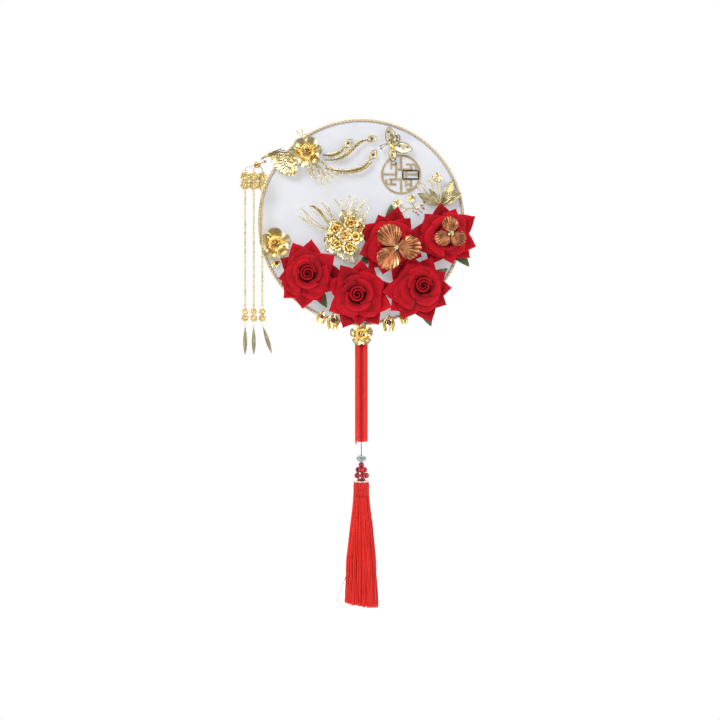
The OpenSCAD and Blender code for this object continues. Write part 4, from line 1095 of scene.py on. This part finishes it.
def ring_of_wire(path_x, path_z, radius, turn=0.0):
    """A closed loop of round wire in the x-z plane, turned about z."""
    path = np.stack([path_x, 0 * path_x, path_z], -1)
    out_way = path - path.mean(0)
    out_way /= np.linalg.norm(out_way, axis=-1, keepdims=True)
    a = circle(6)[:, None]
    ring = path[:, None] + radius * (np.cos(a) * out_way[:, None] + np.sin(a) * np.array([0, 1.0, 0]))
    return turned(ring, turn)


def chain_of_links(count, first, top):
    """count links, each a quarter turn from the last, hanging from height top."""
    return np.stack([ring_of_wire(loop_x, loop_z, 0.56, first + 90 * (k % 2))
                     + [0, 0, top + link_over - k * link_pitch] for k in range(count)])


def small_flower(d, z):
    """Two stacked rings of petals, front and back, facing the front at height z; gives grids."""
    grids = []
    for side, lift, size in ((1, 0.3, 1), (1, 0.8, 0.6), (-1, 0.3, 0.8)):
        face = petals(6, (0.4, 0), (d / 2 * size, 0.7), 32, 15 * side, 0.4, 2.0, 0.8, 0.5, -0.3, 0.1,
                      0.5, (6, 7))
        grids.append(np.stack([face[..., 0], -side * (face[..., 2] + lift), z + face[..., 1]], -1))
    return grids


eyelet = circle(20)


def eye_ring(z, turn=0.0):
    """A small round eye of wire whose middle is at height z."""
    return ring_of_wire(eye_r * np.cos(eyelet), eye_r * np.sin(eyelet) + z, eye_wire, turn)


def looped(grids):
    """Nets that close both ways, moved to the drop's eye."""
    return [net(grid + eye, around=True, along=True) for grid in grids]


for n in (1, 2, 3):
    eye = np.array([drop_x + (n - 2) * drop_gap, -0.15 - 16 - (3 - n) * drop_step, eye_z])
    loops = [eye_ring(link_over - eye_r), eye_ring(rosette_foot + eye_r)]
    flowers = small_flower(13, -7) + small_flower(13, -16.7)
    seeds = balls([(0, -1.2, -7), (0, -1.2, -16.7), (0, 0.7, -7), (0, 0.7, -16.7)], [1.3, 1.4, 1, 1])
    piece(f"drop_{n}_rosette_flowers", [net(grid + eye) for grid in flowers], soft_gold, f"rosette_{n}",
          "brass", [f"drop_{n}_rosette"], wall=0.3)
    piece(f"drop_{n}_rosette_seeds", [net(seeds + eye, around=True), *looped(loops)], pale_gold,
          f"rosette_{n}", "brass")
    for part, count, first, top in (("upper", links_upper, 90, rosette_foot),
                                    ("lower", links_lower, 0, upper_foot)):
        piece(f"drop_{n}_{part}_links", looped([chain_of_links(count, first, top)]),
              soft_gold, f"{part}_chain_{n}", "brass", [f"drop_{n}_chain_{part}"])
    top = lower_foot + link_over
    loops = [eye_ring(top - eye_r, 90), eye_ring(charm_foot + eye_r, 90)]
    flowers = small_flower(8.6, top - 6) + small_flower(9.6, top - 14)
    seeds = balls([(0, -1, top - 6), (0, -1.2, top - 14), (0, 0.7, top - 14)], [1.1, 1.4, 1])
    piece(f"drop_{n}_charm_flowers", [net(grid + eye) for grid in flowers], soft_gold, f"charm_{n}",
          "brass", [f"drop_{n}_charm"], wall=0.3)
    piece(f"drop_{n}_charm_seeds", [net(seeds + eye, around=True), *looped(loops)], pale_gold,
          f"charm_{n}", "brass")
    swing = math.radians(-18 if n == 3 else 0)
    willow = blade(34, 4.6, 0.45, 0, 0, 0, 1.15, (40, 9))
    willow = np.stack([willow[..., 1], -willow[..., 2], -2.1 - willow[..., 0]], -1)
    ring = eye_ring(link_over - eye_r)
    parts = [np.stack([p[..., 0] * math.cos(swing) + p[..., 2] * math.sin(swing), p[..., 1],
                       -p[..., 0] * math.sin(swing) + p[..., 2] * math.cos(swing)], -1) + eye
             + [0, 0, charm_foot] for p in (willow, ring)]
    piece(f"drop_{n}_willow_leaf", [net(parts[0])], leaf_gold, f"leaf_{n}", "brass", [f"drop_{n}_leaf"],
          wall=0.5)
    piece(f"drop_{n}_leaf_ring", [net(parts[1], around=True, along=True)], pale_gold, f"leaf_{n}",
          "brass")
